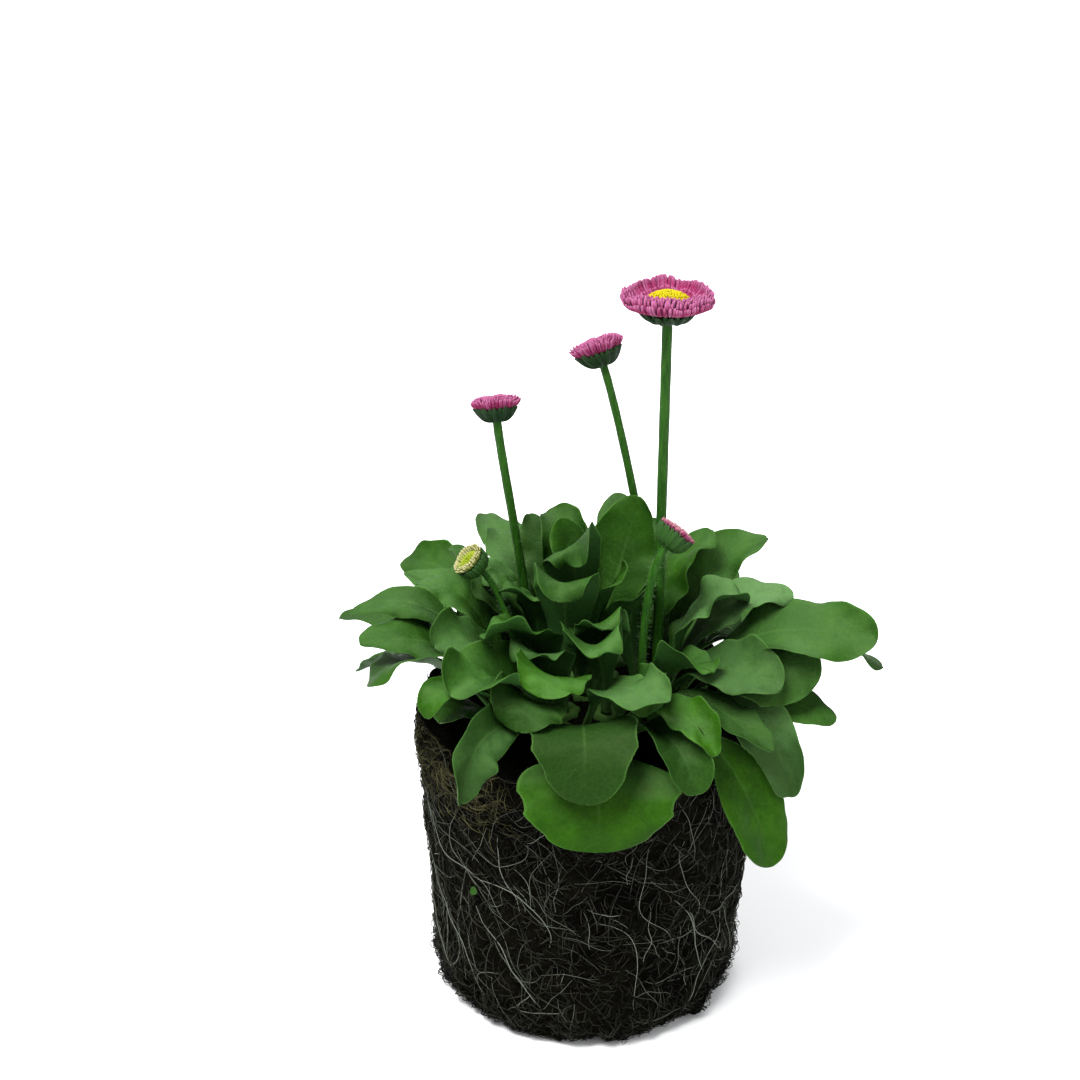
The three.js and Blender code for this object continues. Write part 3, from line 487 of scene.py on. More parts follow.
def back_leaves(first):
    """Leaves of the hidden side go round by the golden angle, steep ones first."""
    turns = [(i * GOLDEN) % 360 - 180 for i in range(80)]
    turns = [turn for turn in turns if abs(turn) >= BACK_FROM][:BACK_LEAVES]
    leaves = []
    for k, azimuth in enumerate(turns):
        s = k / BACK_LEAVES
        rise = math.radians(72 - 78 * s + 8 * (draw(k, 1) - 0.5))
        length = 58 + 14 * s + 8 * (draw(k, 2) - 0.5)
        leaves.append(make_leaf(
            first + k,
            name="back_%d" % (k + 1),
            azimuth=azimuth,
            reach=length * math.cos(rise) + 4,
            height=length * math.sin(rise) * 0.9 - 6 * s,
            width=14 + 7 * draw(k, 3),
            tip=50 - 95 * s + 20 * (draw(k, 4) - 0.5),
            roll=40 * (draw(k, 5) - 0.5),
            fold=8 + 20 * draw(k, 6),
            wave=0.6 + 1.4 * draw(k, 7),
            yaw=30 * (draw(k, 8) - 0.5),
        ))
    return leaves


def young_leaves(first):
    """Short young leaves fill the middle, also round by the golden angle."""
    return [
        make_leaf(
            first + k,
            name="young_%d" % (k + 1),
            azimuth=(k * GOLDEN) % 360 - 180,
            reach=10 + 1.2 * k,
            height=30 - 0.8 * k,
            width=9 + 3 * draw(k, 9),
            tip=60 - 4 * k,
            roll=30 * (draw(k, 10) - 0.5),
            fold=15 + 15 * draw(k, 11),
            wave=0.6,
            yaw=20 * (draw(k, 12) - 0.5),
        )
        for k in range(YOUNG_LEAVES)
    ]


def crown_of(leaf):
    """The node that holds a leaf, and the place of its root. Steep leaves grow from the middle crown, others
    from the nearest inner or outer crown, and lone ones from a root of their own."""
    slope = math.degrees(math.atan2(leaf["height"], leaf["reach"]))
    lone = LONE_ROOTS.get(leaf["name"])
    if leaf["name"].startswith("back_") and slope < LONE_SLOPE:
        lone = (leaf["azimuth"], LONE_RADII[leaf["seed"] % 2])
    if lone:
        azimuth, radius = lone
        return "leaf_" + leaf["name"], heading(azimuth)[:2] * radius
    if slope > MIDDLE_SLOPE:
        name, middle = "leaves_core", np.zeros(2)
    else:
        kind = "inner" if slope > INNER_SLOPE else "outer"
        count, first, radius = CROWN_RINGS[kind]
        turns = [360 // count * i + first for i in range(count)]
        gaps = [abs((turn - leaf["azimuth"] + 180) % 360 - 180) for turn in turns]
        nearest = int(np.argmin(gaps))
        name, middle = "leaves_%s_%d" % (kind, nearest + 1), heading(turns[nearest])[:2] * radius
    return name, middle + STALK_RADIUS * heading(leaf["azimuth"])[:2]


def tips_of(leaf):
    """The places that a leaf tries for its tip: a spiral in azimuth and height that widens with the root of
    the try."""
    q = np.arange(TRIES)
    azimuth = leaf["azimuth"] + TRY_DEGREES * np.sqrt(q) * np.cos(TRY_TURN * q)
    height = leaf["height"] + TRY_HEIGHT * np.sqrt(q) * np.sin(TRY_TURN * q)
    tips = heading(azimuth) * leaf["reach"]
    tips[:, 2] = SOIL + height
    return azimuth, height, tips


def node_points(name):
    """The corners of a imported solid, in millimetres."""
    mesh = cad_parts[name].data
    points = np.empty(len(mesh.vertices) * 3)
    mesh.vertices.foreach_get("co", points)
    return points.reshape(-1, 3) / MM


def settle(leaves):
    """Leaves by node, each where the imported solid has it: the first try whose tip is a corner of the solid.
    A leaf that the solid doesn't have is left out."""
    grown = {}
    for leaf in leaves:
        node, root = crown_of(leaf)
        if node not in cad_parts:
            continue
        azimuth, height, tips = tips_of(leaf)
        miss = np.linalg.norm(tips[:, None] - node_points(node)[None], axis=-1).min(axis=1)
        found = np.flatnonzero(miss < TIP_MISS)
        if not len(found):
            continue
        q = int(found[0])
        leaf.update(azimuth=azimuth[q], height=height[q], root=np.array([*root, SOIL + ROOT_RISE]))
        grown.setdefault(node, []).append(leaf)
    return grown


def midrib(leaf, u):
    """Points and directions along a cubic curve from the root to the tip. It leaves the root steeply, 60% of
    the way from its own slope to upright, and ends along the slope of the tip."""
    tip = heading(leaf["azimuth"]) * leaf["reach"]
    tip[2] = SOIL + leaf["height"]
    root = leaf["root"]
    chord = tip - root
    length = np.linalg.norm(chord)
    flat = unit(chord * [1, 1, 0])
    slope = math.atan2(chord[2], math.hypot(chord[0], chord[1]))
    start = slope + (math.pi / 2 - slope) * 0.6
    end = math.radians(leaf["tip"])
    leaving = flat * math.cos(start) + np.array([0, 0, math.sin(start)])
    arriving = heading(leaf["azimuth"] + leaf["yaw"]) * math.cos(end) + np.array([0, 0, math.sin(end)])
    first = root + leaving * length * 0.42
    second = tip - arriving * length * leaf["bow"]
    points = cubic((root, first, second, tip), u)
    u = u[:, None]
    slopes = (first - root) * (1 - u) ** 2 + (second - first) * 2 * u * (1 - u) + (tip - second) * u * u
    return points, unit(slopes), flat


def leaf_plan(leaf):
    """For each row its place u along the midrib, the share of the full width there, and half of its width.
    Half of the rows run from the root to the widest place, to which the blade widens by an S curve from its
    stalk, and half from there to the tip, which is rounded like an ellipse. Two sine waves give the margin
    shallow teeth."""
    seed = leaf["seed"]
    widest = leaf["widest"]
    half = leaf["width"] / 2
    s = np.linspace(0, 0.994, LEAF_ROWS)
    lower = s < 0.5
    turn = clamp((s - 0.5) / 0.5) * math.pi / 2
    u = np.where(lower, 2 * s * widest, widest + (1 - widest) * np.sin(turn))
    stalk = (1.25 + 0.012 * leaf["width"]) / half
    swell = smooth((u - 0.12) / (widest - 0.12))
    plan = np.where(lower, stalk + (1 - stalk) * swell, np.cos(turn) ** 0.85)
    teeth = 1 + 0.035 * np.sin(34 * u + seed) * clamp((u - 0.45) * 4)
    nibs = 1 + 0.012 * np.sin(83 * u + 2 * seed) * clamp((u - 0.5) * 4)
    return u, plan, half * plan * teeth * nibs


def leaf_relief(leaf, u, v, plan, reach):
    """How high each point of a blade lies over its midrib. The blade folds up from the midrib, its margins
    wave, and the outermost strip turns up or down. The midrib is a groove above and a ridge below, and the
    blade swells a little between the side veins."""
    seed = leaf["seed"]
    edge = np.abs(v)
    fold = math.radians(leaf["fold"]) * (0.5 + 0.5 * clamp(1 - (u - 0.5) * 1.2))
    waves = leaf["wave"] * clamp((u - 0.3) / 0.4) * np.minimum(1, 2.2 * plan)
    broad = clamp(plan * 1.6 - 0.3)
    rate = 11 + 4 * draw(seed, 22)
    phase = 6.28 * draw(seed, 21)
    bend = 0.45 * (np.sqrt(v * v + 0.02) - math.sqrt(0.02)) + 0.48 * v * v
    ripple = waves * v * v * np.sin(u * rate + phase + np.sign(v) * 1.1)
    frill = 0.35 * waves * edge ** 3 * np.sin(u * rate * 2.7 + 2 * phase + np.sign(v) * 2)
    puckers = 0.16 * broad * (1 - v * v) * np.sin(u * 46 - edge * 7 + seed)
    groove = -0.3 * np.exp(-((v * reach) / 0.7) ** 2) * (1 - 0.7 * u)
    lip = np.where(v < 0, spread(seed, 35, -1.5, 1.2), spread(seed, 36, -1.5, 1.2)) * broad * edge ** 5
    height = reach * bend * np.sin(fold) + ripple + frill + puckers + groove + lip
    return height, reach * v * np.cos(fold)


def leaf_part(leaf):
    """A leaf blade: the grid of its relief laid across its midrib and rolled to one side towards the tip. It
    is thicker at the stalk and along the midrib."""
    seed = leaf["seed"]
    u, plan, reach = leaf_plan(leaf)
    centre, tangent, flat = midrib(leaf, u)
    sideways = np.array([-flat[1], flat[0], 0])
    level = unit(sideways - tangent * (tangent @ sideways)[:, None])
    face = np.cross(tangent, level)
    roll = (math.radians(leaf["roll"]) * clamp((u - 0.2) / 0.6))[:, None]
    across = level * np.cos(roll) + face * np.sin(roll)
    over = face * np.cos(roll) - level * np.sin(roll)
    row = u[:, None]
    v = np.sin(np.linspace(-1, 1, LEAF_COLUMNS) * math.pi / 2)[None]
    height, width = leaf_relief(leaf, row, v, plan[:, None], reach[:, None])
    middle = centre[:, None] + across[:, None] * width[..., None] + over[:, None] * height[..., None]
    stout = clamp((0.4 - row) / 0.25)
    thickness = LEAF_THICKNESS + 0.7 * stout + 0.25 * np.exp(-(v / 0.12) ** 2) * (1 - row)
    # How far each point faces the light above, which the finish paints as highlight and shade.
    upward = unit(np.cross(np.gradient(middle, axis=0), np.gradient(middle, axis=1))) @ LIGHT_ABOVE
    drawn = (0.7 * draw(seed, 32), 0.4 * draw(seed, 33) ** 2, 0.6 * draw(seed, 34))
    fresh, dull, dark = LOOKS.get(leaf["name"], drawn)
    shades = {
        "tone": draw(seed, 31),
        "fresh": fresh,
        "dull": dull,
        "dark": dark,
        "side": lower_face(LEAF_COLUMNS),
        "sky": 0.5 + 0.5 * round_trip(-upward, upward)[None],
        "broad": reach[None, :, None] / 10,
    }
    return blade_part(middle[None], thickness[None], u, v, **shades)


def crown_part(x, y, radius):
    """The low mound that stalks of one crown leave: a dome of rings, with seven soft ribs."""
    turn = round_about(24)[None]
    r = np.array([1.0, 1.0, 0.97, 0.85, 0.62, 0.3, 0.04])[:, None] * radius * (1 + 0.08 * np.sin(7 * turn))
    z = np.array([-4.0, -0.5, 0.5, 1.2, 1.7, 2.0, 2.05])[:, None] + SOIL + 0 * turn
    rings = np.array([x, y, 0]) + upright_points(r, z, turn)
    # Its numbers give the mound the leaf finish's painted shade of a surface turned from the light, and a
    # little more by darkness.
    return skin(rings[None], 0.02, 0.4, tone=0.6, fresh=0.3, dull=0.0, dark=0.2, side=0.0, broad=0.2, sky=0.5)


def leaf_finish():
    """Leaf: deep green with slow blotches and a drawn tone for each leaf, a yellower green where it is fresh,
    greyer where it is dull, with painted shade towards the root, where it turns from the light above and by
    each leaf's darkness, and a painted highlight where it faces that light. It is paler along the midrib's
    foot and at the thin margin, and paler below. Side veins leave the midrib at a slant."""
    leaf = Finish("leaf_blade")
    u, v = leaf.uv()
    place = leaf.place()
    tone, fresh, side, broad, dull, dark, sky = [
        leaf.shade(name) for name in ("tone", "fresh", "side", "broad", "dull", "dark", "sky")]
    across = (v - 0.5).math("ABSOLUTE") * 2
    slant = u * 17 - across * broad * 2.6 + leaf.noise(place, 6, 2) * 2.4
    veins = leaf.step((slant * 3.14159).math("SINE").math("ABSOLUTE"), 0.3, 0.0)
    veins = veins * leaf.step(across, 0.9, 0.3) * leaf.step(u, 0.35, 0.55)
    rib = leaf.step(across * broad, 0.07, 0.015) * leaf.step(u, 1.0, 0.55)
    net = leaf.add("ShaderNodeTexVoronoi", {"feature": "DISTANCE_TO_EDGE"}, {"Vector": place, "Scale": 600.0})
    net = leaf.step(net, 0.14, 0.0)
    blotch = leaf.noise(place, 10, 4, 0.6)
    cloud = leaf.noise(place, 26, 2, 0.5)
    mottle = leaf.noise(place, 3.0, 3, 0.65)
    grain = leaf.noise(place, 0.9, 3, 0.7)
    margin = leaf.step(across, 0.95, 1.0) * 0.35 + rib * 0.18
    stalk = leaf.step(u, 0.3, 0.02) * 0.35
    mature = leaf.layers(
        leaf.blend(tone, (0.0045, 0.022, 0.001), (0.01, 0.044, 0.0018)),
        (leaf.step(blotch, 0.32, 0.7), (0.019, 0.07, 0.003)),
        (leaf.step(cloud, 0.62, 0.4) * 0.4, (0.006, 0.028, 0.0045)),
    )
    bright = leaf.blend(leaf.step(blotch, 0.25, 0.8), (0.011, 0.053, 0.0003), (0.03, 0.112, 0.0008))
    green = leaf.layers(
        leaf.blend(fresh, mature, bright),
        (dull * 0.75, (0.085, 0.165, 0.062)),
        # Painted shade towards the root, where the leaves above shade it.
        (leaf.step(u + blotch * 0.5, 1.18, 0.62) * 0.62, (0.0045, 0.021, 0.002)),
        (leaf.step(mottle, 0.5, 0.32) * 0.3, (0.006, 0.026, 0.003)),
        (leaf.step(mottle, 0.54, 0.72) * 0.16, (0.06, 0.13, 0.03)),
        # Painted shade where the leaf turns from the light above, and a painted highlight where it faces it.
        (leaf.step(sky, 0.92, 0.55) * 0.6, (0.005, 0.03, 0.0002)),
        (leaf.step(sky, 0.84, 1.0) * 0.24, (0.085, 0.19, 0.055)),
        # Painted shade by the darkness of each leaf.
        (dark * 0.82, (0.006, 0.02, 0.003)),
        (grain * 0.3, (0.008, 0.035, 0.003)),
        (net * 0.06 + veins * 0.06, (0.055, 0.135, 0.022)),
        (side * 0.3, (0.03, 0.085, 0.026)),
        ((margin + stalk).math("MINIMUM", 0.6), (0.07, 0.15, 0.035)),
    )
    height = grain * 0.3 + blotch * 0.5 + mottle * 0.2 - veins * 0.22 - net * 0.07
    return leaf.finish(
        green, 0.5 + grain * 0.16 + fresh * -0.05, leaf.bump(height, 0.5, 0.6), (0.1, (0.4, 1.0, 0.15), 1.2),
        IOR=1.42, Specular_IOR_Level=0.11, Specular_Tint=(0.85, 1.0, 0.5, 1.0))


def make_leaves():
    """One piece for each node of leaves. A crown also gets the mound that its stalks leave."""
    leaves = [make_leaf(seed, **dict(zip(LEAF_KEYS, row))) for seed, row in enumerate(SHOWN_LEAVES)]
    leaves += back_leaves(len(leaves))
    leaves += young_leaves(len(leaves))
    finish = leaf_finish()
    grown = settle(leaves)
    for node, own in grown.items():
        parts = [leaf_part(leaf) for leaf in own]
        if node.startswith("leaves_"):
            middles = [leaf["root"][:2] - STALK_RADIUS * heading(leaf["azimuth"])[:2] for leaf in own]
            parts.append(crown_part(*np.mean(middles, axis=0), CROWN_MOUND))
        add_piece("fine_" + node, parts, finish, [node])
    print("leaves", sum(len(own) for own in grown.values()), "of", len(leaves))


# Flower heads

# Centre is the top of the green cup, with its height over the soil, size that of the head as a share of its
# form's, axis the way it faces, base the stem's place in the soil, and stem its radius.
HEADS = {
    "a": {"form": "open", "centre": (21.6, 4, 123.3), "size": 1, "axis": (0.02, 0.2, 1), "base": (20, 0),
          "stem": 1.45},
    "b": {"form": "brush", "centre": (2.9, 27, 96.2), "size": 1, "axis": (-0.33, 0.4, 0.86), "base": (22, 22),
          "stem": 1.15},
    "c": {"form": "bud", "centre": (24.4, -10.6, 59.3), "size": 0.83, "axis": (0.6, 0.4, 0.69),
          "base": (14.2, -14.2), "stem": 1.15},
    "d": {"form": "young", "centre": (-32.3, -8, 48.5), "size": 0.78, "axis": (-0.68, -0.1, 0.72),
          "base": (-14.2, -14.2), "stem": 0.9},
    "e": {"form": "brush", "centre": (-25.6, 15.4, 84.4), "size": 0.9, "axis": (-0.1, 0.45, 0.89),
          "base": (-14.2, 14.2), "stem": 1.25},
}

# The kinds that the green finish paints: a stem, a bract and a fresher bract.
STEM = 0.0
BRACT = 0.5
FRESH_BRACT = 1.0

# What each form of head is made of. Neck is how far the cup reaches down, kind what its bracts are painted
# as, and bowl the profile of the green cup under them. Bracts and rays come in rings: their count, the four
# radius and height pairs that steer their curve, the width of one, and how far the ring is turned, in shares
# of a step. Disc is the radius and height of the dome, with the count of its florets. Petal and eye are the
# colours of rays and disc.
FORMS = {
    "open": {
        "neck": 4.6,
        "kind": BRACT,
        "petal": "pink",
        "eye": "yellow",
        "bowl": [(1.5, -5.2), (2.1, -4.9), (3.9, -4.2), (5.7, -2.9), (6.5, -1.4), (5.8, 0.1), (0.1, 0.1)],
        "bracts": [
            (13, [(2.0, -5.1), (4.4, -4.9), (6.2, -3.7), (8.2, -1.9)], 2.6, 0.0),
            (13, [(2.6, -4.6), (4.5, -4.2), (6.0, -3.1), (7.6, -1.6)], 2.3, 0.5),
        ],
        "rays": [
            (96, [(6.3, -1.4), (10.5, -1.5), (12.9, -0.5), (12.8, 1.7)], 0.95, 0.3),
            (106, [(6.2, -1.2), (10.8, -1.2), (12.9, 0.6), (12.4, 3.2)], 0.9, 0.0),
            (102, [(6.1, -0.7), (10.2, -0.6), (12.2, 1.3), (11.8, 3.7)], 0.9, 0.5),
            (94, [(6.0, -0.2), (9.4, 0.0), (11.3, 1.8), (11.1, 4.0)], 0.86, 0.2),
            (84, [(5.9, 0.2), (8.6, 0.5), (10.4, 2.1), (10.6, 4.2)], 0.82, 0.7),
            (58, [(5.7, 0.6), (6.5, 0.9), (7.3, 1.5), (7.4, 2.4)], 0.7, 0.1),
        ],
        "disc": (5.9, 4.1, 190),
    },
    "brush": {
        "neck": 3.9,
        "kind": BRACT,
        "petal": "pink",
        "bowl": [(1.2, -4.2), (1.6, -3.8), (2.7, -2.9), (3.9, -1.7), (4.7, -0.5), (4.6, 0.2), (0.1, 0.6)],
        "bracts": [
            (12, [(1.5, -4.0), (3.0, -3.7), (4.7, -2.5), (7.1, 0.4)], 2.6, 0.0),
            (12, [(1.8, -3.7), (3.0, -3.3), (4.5, -2.1), (6.5, 0.1)], 2.3, 0.5),
        ],
        "rays": [
            (76, [(4.6, -0.6), (6.1, -0.4), (7.3, 0.7), (7.8, 2.3)], 0.72, 0.0),
            (70, [(4.4, -0.2), (5.9, 0.3), (7.0, 1.4), (7.2, 2.9)], 0.7, 0.5),
            (64, [(4.1, 0.2), (5.2, 0.8), (6.3, 1.8), (6.4, 3.4)], 0.68, 0.3),
            (54, [(3.5, 0.5), (4.4, 1.1), (5.3, 2.1), (5.4, 3.6)], 0.68, 0.8),
            (44, [(2.9, 0.6), (3.6, 1.3), (4.3, 2.3), (4.3, 3.7)], 0.68, 0.1),
            (32, [(2.1, 0.7), (2.6, 1.4), (3.1, 2.4), (3.1, 3.7)], 0.66, 0.6),
            (20, [(1.2, 0.7), (1.5, 1.4), (1.8, 2.4), (1.8, 3.8)], 0.66, 0.2),
            (8, [(0.4, 0.7), (0.5, 1.4), (0.6, 2.4), (0.6, 3.7)], 0.66, 0.2),
        ],
    },
    "bud": {
        "neck": 5.0,
        "kind": FRESH_BRACT,
        "petal": "bud",
        "bowl": [(1.25, -5.4), (2.0, -5.1), (3.8, -4.1), (5.0, -2.4), (5.6, -0.6), (5.2, 0.2), (0.1, 0.6)],
        "bracts": [
            (13, [(1.6, -5.2), (4.2, -4.8), (5.8, -2.4), (6.8, 1.1)], 3.1, 0.0),
            (13, [(2.0, -4.7), (4.1, -4.3), (5.4, -2.3), (6.3, 0.9)], 2.8, 0.5),
        ],
        "rays": [
            (50, [(4.9, -0.2), (5.7, 0.4), (6.4, 1.1), (6.4, 1.9)], 0.82, 0.0),
            (44, [(4.4, 0.3), (5.1, 0.8), (5.6, 1.4), (5.6, 2.2)], 0.82, 0.5),
            (36, [(3.7, 0.6), (4.3, 1.0), (4.7, 1.6), (4.6, 2.4)], 0.82, 0.2),
            (26, [(2.8, 0.7), (3.3, 1.1), (3.6, 1.7), (3.5, 2.5)], 0.8, 0.7),
            (12, [(1.8, 0.7), (2.2, 1.1), (2.3, 1.8), (2.3, 2.8)], 1.0, 0.3),
            (5, [(0.8, 0.7), (0.9, 1.1), (1.0, 1.8), (1.0, 2.8)], 1.0, 0.3),
        ],
    },
    "young": {
        "neck": 5.0,
        "kind": FRESH_BRACT,
        "petal": "pale",
        "eye": "lime",
        "bowl": [(1.0, -5.4), (1.6, -5.0), (3.1, -4.1), (4.4, -2.4), (4.9, -0.6), (4.6, 0.1), (0.1, 0.1)],
        "bracts": [
            (13, [(1.3, -5.1), (3.9, -4.6), (5.3, -1.8), (6.1, 0.7)], 2.7, 0.0),
            (13, [(1.8, -4.6), (3.8, -4.1), (5.0, -1.8), (5.7, 0.4)], 2.4, 0.5),
        ],
        "rays": [
            (34, [(4.2, -0.2), (5.2, 0.5), (6.0, 1.3), (6.1, 2.2)], 1.0, 0.0),
            (32, [(3.9, 0.2), (4.8, 0.9), (5.4, 1.7), (5.5, 2.7)], 0.95, 0.5),
            (28, [(3.6, 0.4), (4.3, 1.1), (4.7, 1.8), (4.7, 2.7)], 0.9, 0.2),
        ],
        "disc": (4.0, 2.6, 110),
    },
}

# Colours of ray florets: at the base, in the middle, at the tip, and of the darker outer face.
RAY_COLOURS = {
    "pink": ((0.26, 0.1, 0.18), (0.235, 0.021, 0.084), (0.38, 0.132, 0.26), (0.155, 0.0075, 0.044)),
    "bud": ((0.3, 0.16, 0.06), (0.22, 0.02, 0.095), (0.38, 0.21, 0.205), (0.12, 0.012, 0.05)),
    "pale": ((0.18, 0.25, 0.02), (0.3, 0.32, 0.08), (0.46, 0.41, 0.25), (0.16, 0.21, 0.03)),
}

# Colours of disc florets: at the rim, in the middle, and the painted shade down between them.
DISC_COLOURS = {
    "yellow": ((0.35, 0.27, 0.0), (0.34, 0.3, 0.0), (0.18, 0.1, 0.0)),
    "lime": ((0.26, 0.31, 0.02), (0.17, 0.23, 0.008), (0.07, 0.1, 0.004)),
}

RAY_ROWS = 9
RAY_COLUMNS = 5
RAY_THICKNESS = 0.28
BRACT_ROWS = 11
BRACT_COLUMNS = 9
BRACT_THICKNESS = 0.42
STEM_ROWS = 70
STEM_CORNERS = 20
STEM_DEPTH = 5  # how far a stem goes into the soil
HAIRS = 420
HAIR_RADIUS = 0.035
HAIR_LENGTH = 1.3

# The first of the draws that rays, bracts and hairs use. Every ring and head has its own.
RAY_DRAWS = 300
BRACT_DRAWS = 120
HAIR_DRAWS = 200


def head_frame(head):
    """The axes of a head: across, ahead and the way it faces, with its centre."""
    axis = unit(np.array(head["axis"], float))
    across = unit(np.cross([0, 1, 0], axis))
    ahead = np.cross(axis, across)
    centre = np.array(head["centre"], float) + [0, 0, SOIL]
    return across, ahead, axis, centre


def round_head(axes, radius, height, angle):
    """Points of a head from radius, height and angle about its axis."""
    across, ahead, axis, centre = axes
    out = np.cos(angle)[..., None] * across + np.sin(angle)[..., None] * ahead
    return centre + out * radius[..., None] + axis * height[..., None]


def bowl_rings(axes, radius, height, angle):
    """Rings of a profile that is turned about the axis of a head."""
    flat = 0 * angle
    return round_head(axes, radius[:, None] + flat, height[:, None] + flat, 0 * radius[:, None] + angle)[None]


def ray_ring(axes, ring, use):
    """A ring of ray florets. Each follows its curve out and up. Sine waves about the head, the same for all
    its rings, and a small draw for each ray shift its length and lift, so the rim ripples and hangs at both
    sides. Its width grows by an S curve from a narrow base and ends blunt, by the fourth power. It is a
    shallow trough with a ridge along its middle. Rows are closer towards the tip."""
    count, steers, width, turn = ring
    across, ahead, _, centre = axes
    k = np.arange(count)[:, None]
    u = 0.995 * (1 - (1 - np.linspace(0, 1, RAY_ROWS)) ** 1.35)
    v = np.linspace(-1, 1, RAY_COLUMNS)
    radius, height = cubic(np.array(steers, float), u).T
    size = radius[-1] / 13
    start = 2 * math.pi / count * (k + turn + 0.3 * (draw(k, use + 3) - 0.5))
    phase = centre[0] * 0.7
    hang = -0.8 * np.cos(2 * start)
    ripple = hang + 0.8 * np.sin(5 * start + 2 * phase) + 0.5 * np.sin(8 * start + 3 * phase)
    length = 1 + 0.018 * ripple + spread(k, use, -0.03, 0.03)
    lift = (0.5 * size * ripple + spread(k, use + 1, -0.22, 0.22) * size) * u ** 2
    angle = start + spread(k, use + 4, -0.05, 0.05) * u
    r = radius[0] + (radius - radius[0]) * length + spread(k, use + 2, -0.22, 0.22) * u
    h = height[0] + (height - height[0]) * length + lift
    end = clamp((u - 0.8) / 0.2)
    plan = (0.4 + 0.6 * smooth(u / 0.55)) * (1 - end ** 4 * 0.99) ** 0.5
    half = (width / 2 * plan * spread(k, use + 5, 0.85, 1.15))[..., None]
    middle = round_head(axes, r, h, angle)
    side = -np.sin(angle)[..., None] * across + np.cos(angle)[..., None] * ahead
    over = unit(np.cross(np.gradient(middle, axis=1), side))
    trough = half * (0.4 * v * v - 0.1 * np.cos(3 * math.pi * v))
    shift = side[:, :, None] * (half * v)[..., None] + over[:, :, None] * trough[..., None]
    tone = draw(k, use + 6)[..., None]
    surface = middle[:, :, None] + shift
    return blade_part(surface, RAY_THICKNESS, u, v, tone=tone, outer=lower_face(RAY_COLUMNS))


def bract_ring(axes, ring, use, kind):
    """A ring of bracts on the cup. Each is a patch of the surface that its curve turns about the axis,
    widest near the middle and pointed, swelling outwards between its margins with a fine ridge along its
    middle."""
    count, steers, width, turn = ring
    k = np.arange(count)[:, None]
    u = np.linspace(0, 0.985, BRACT_ROWS)
    v = np.linspace(-1, 1, BRACT_COLUMNS)
    radius, height = cubic(np.array(steers, float), u).T
    slope_r = np.gradient(radius)
    slope_h = np.gradient(height)
    steep = np.hypot(slope_r, slope_h)
    length = spread(k, use, 0.92, 1.05)
    r = radius[0] + (radius - radius[0]) * length
    h = height[0] + (height - height[0]) * length
    end = clamp((u - 0.5) / 0.5)
    plan = (0.5 + 0.5 * smooth(u / 0.45)) * (1 - end ** 2.4) ** 0.75
    half = np.minimum((width / 2 * plan) / np.maximum(radius, 1.5), 1.02 * math.pi / count)
    belly = 0.62 * (1 - v * v) * np.sin(math.pi * clamp(u * 0.9 + 0.08))[:, None]
    swell = belly + 0.12 * np.exp(-(v / 0.14) ** 2)
    middle_r = r[..., None] + (slope_h / steep)[:, None] * swell
    middle_h = h[..., None] - (slope_r / steep)[:, None] * swell
    start = 2 * math.pi / count * (k + turn + 0.12 * (draw(k, use + 1) - 0.5))
    middle = round_head(axes, middle_r, middle_h, start[..., None] + half[:, None] * v)
    tone = draw(k, use + 2)[..., None]
    return blade_part(middle, BRACT_THICKNESS, u, v, tone=tone, kind=kind)


def bowl_part(axes, profile, kind):
    """The smooth cup under the bracts, turned about the axis. Corners of its profile are eased by cutting
    them."""
    p = np.array(profile, float)
    for _ in range(2):
        pairs = [0.75 * p[:-1] + 0.25 * p[1:], 0.25 * p[:-1] + 0.75 * p[1:]]
        p = np.concatenate([p[:1], np.concatenate(pairs, axis=1).reshape(-1, 2), p[-1:]])
    return skin(bowl_rings(axes, p[:, 0], p[:, 1], round_about(40)), 0.3, 0.5, tone=0.5, kind=kind)


def sized(form, size):
    """A form of head with every length of its parts multiplied by the size."""
    larger = dict(form, neck=form["neck"] * size, bowl=[(r * size, h * size) for r, h in form["bowl"]])
    for group in ("bracts", "rays"):
        larger[group] = [
            (count, [(r * size, h * size) for r, h in steers], width * size, turn)
            for count, steers, width, turn in form[group]
        ]
    if "disc" in form:
        radius, height, count = form["disc"]
        larger["disc"] = (radius * size, height * size, count)
    return larger


def stem_path(head, neck):
    """The stem's middle line: a cubic curve from the soil to the neck of the head, met along the head's
    axis."""
    _, _, axis, centre = head_frame(head)
    foot = np.array([*head["base"], SOIL - STEM_DEPTH], float)
    top = centre - axis * (neck - 0.4)
    first = foot + (top - foot) * 0.4
    first[:2] = 0.75 * foot[:2] + 0.25 * top[:2]
    second = top - 12 * axis
    return cubic((foot, first, second, top), np.linspace(0, 1, STEM_ROWS))


def stem_part(path, radius):
    """The stem: a tube with five soft ribs, a little thicker at its foot and flaring into the cup."""
    u = np.linspace(0, 1, STEM_ROWS)
    radius = radius * (1 + 0.1 * np.exp(-(u / 0.15) ** 2) + 0.45 * smooth((u - 0.965) / 0.035))
    radius = radius * (1 + 0.02 * np.sin(u * 47 + 3))
    turn = round_about(STEM_CORNERS)
    ribs = (1 + 0.035 * np.cos(5 * turn))[None, None, :, None]
    middle = path[None, :, None]
    rings = middle + (tube(path[None], radius[None], STEM_CORNERS) - middle) * ribs
    return skin(rings, u[None, :, None] * 0.2, turn / 6.28, tone=0.4, kind=STEM)


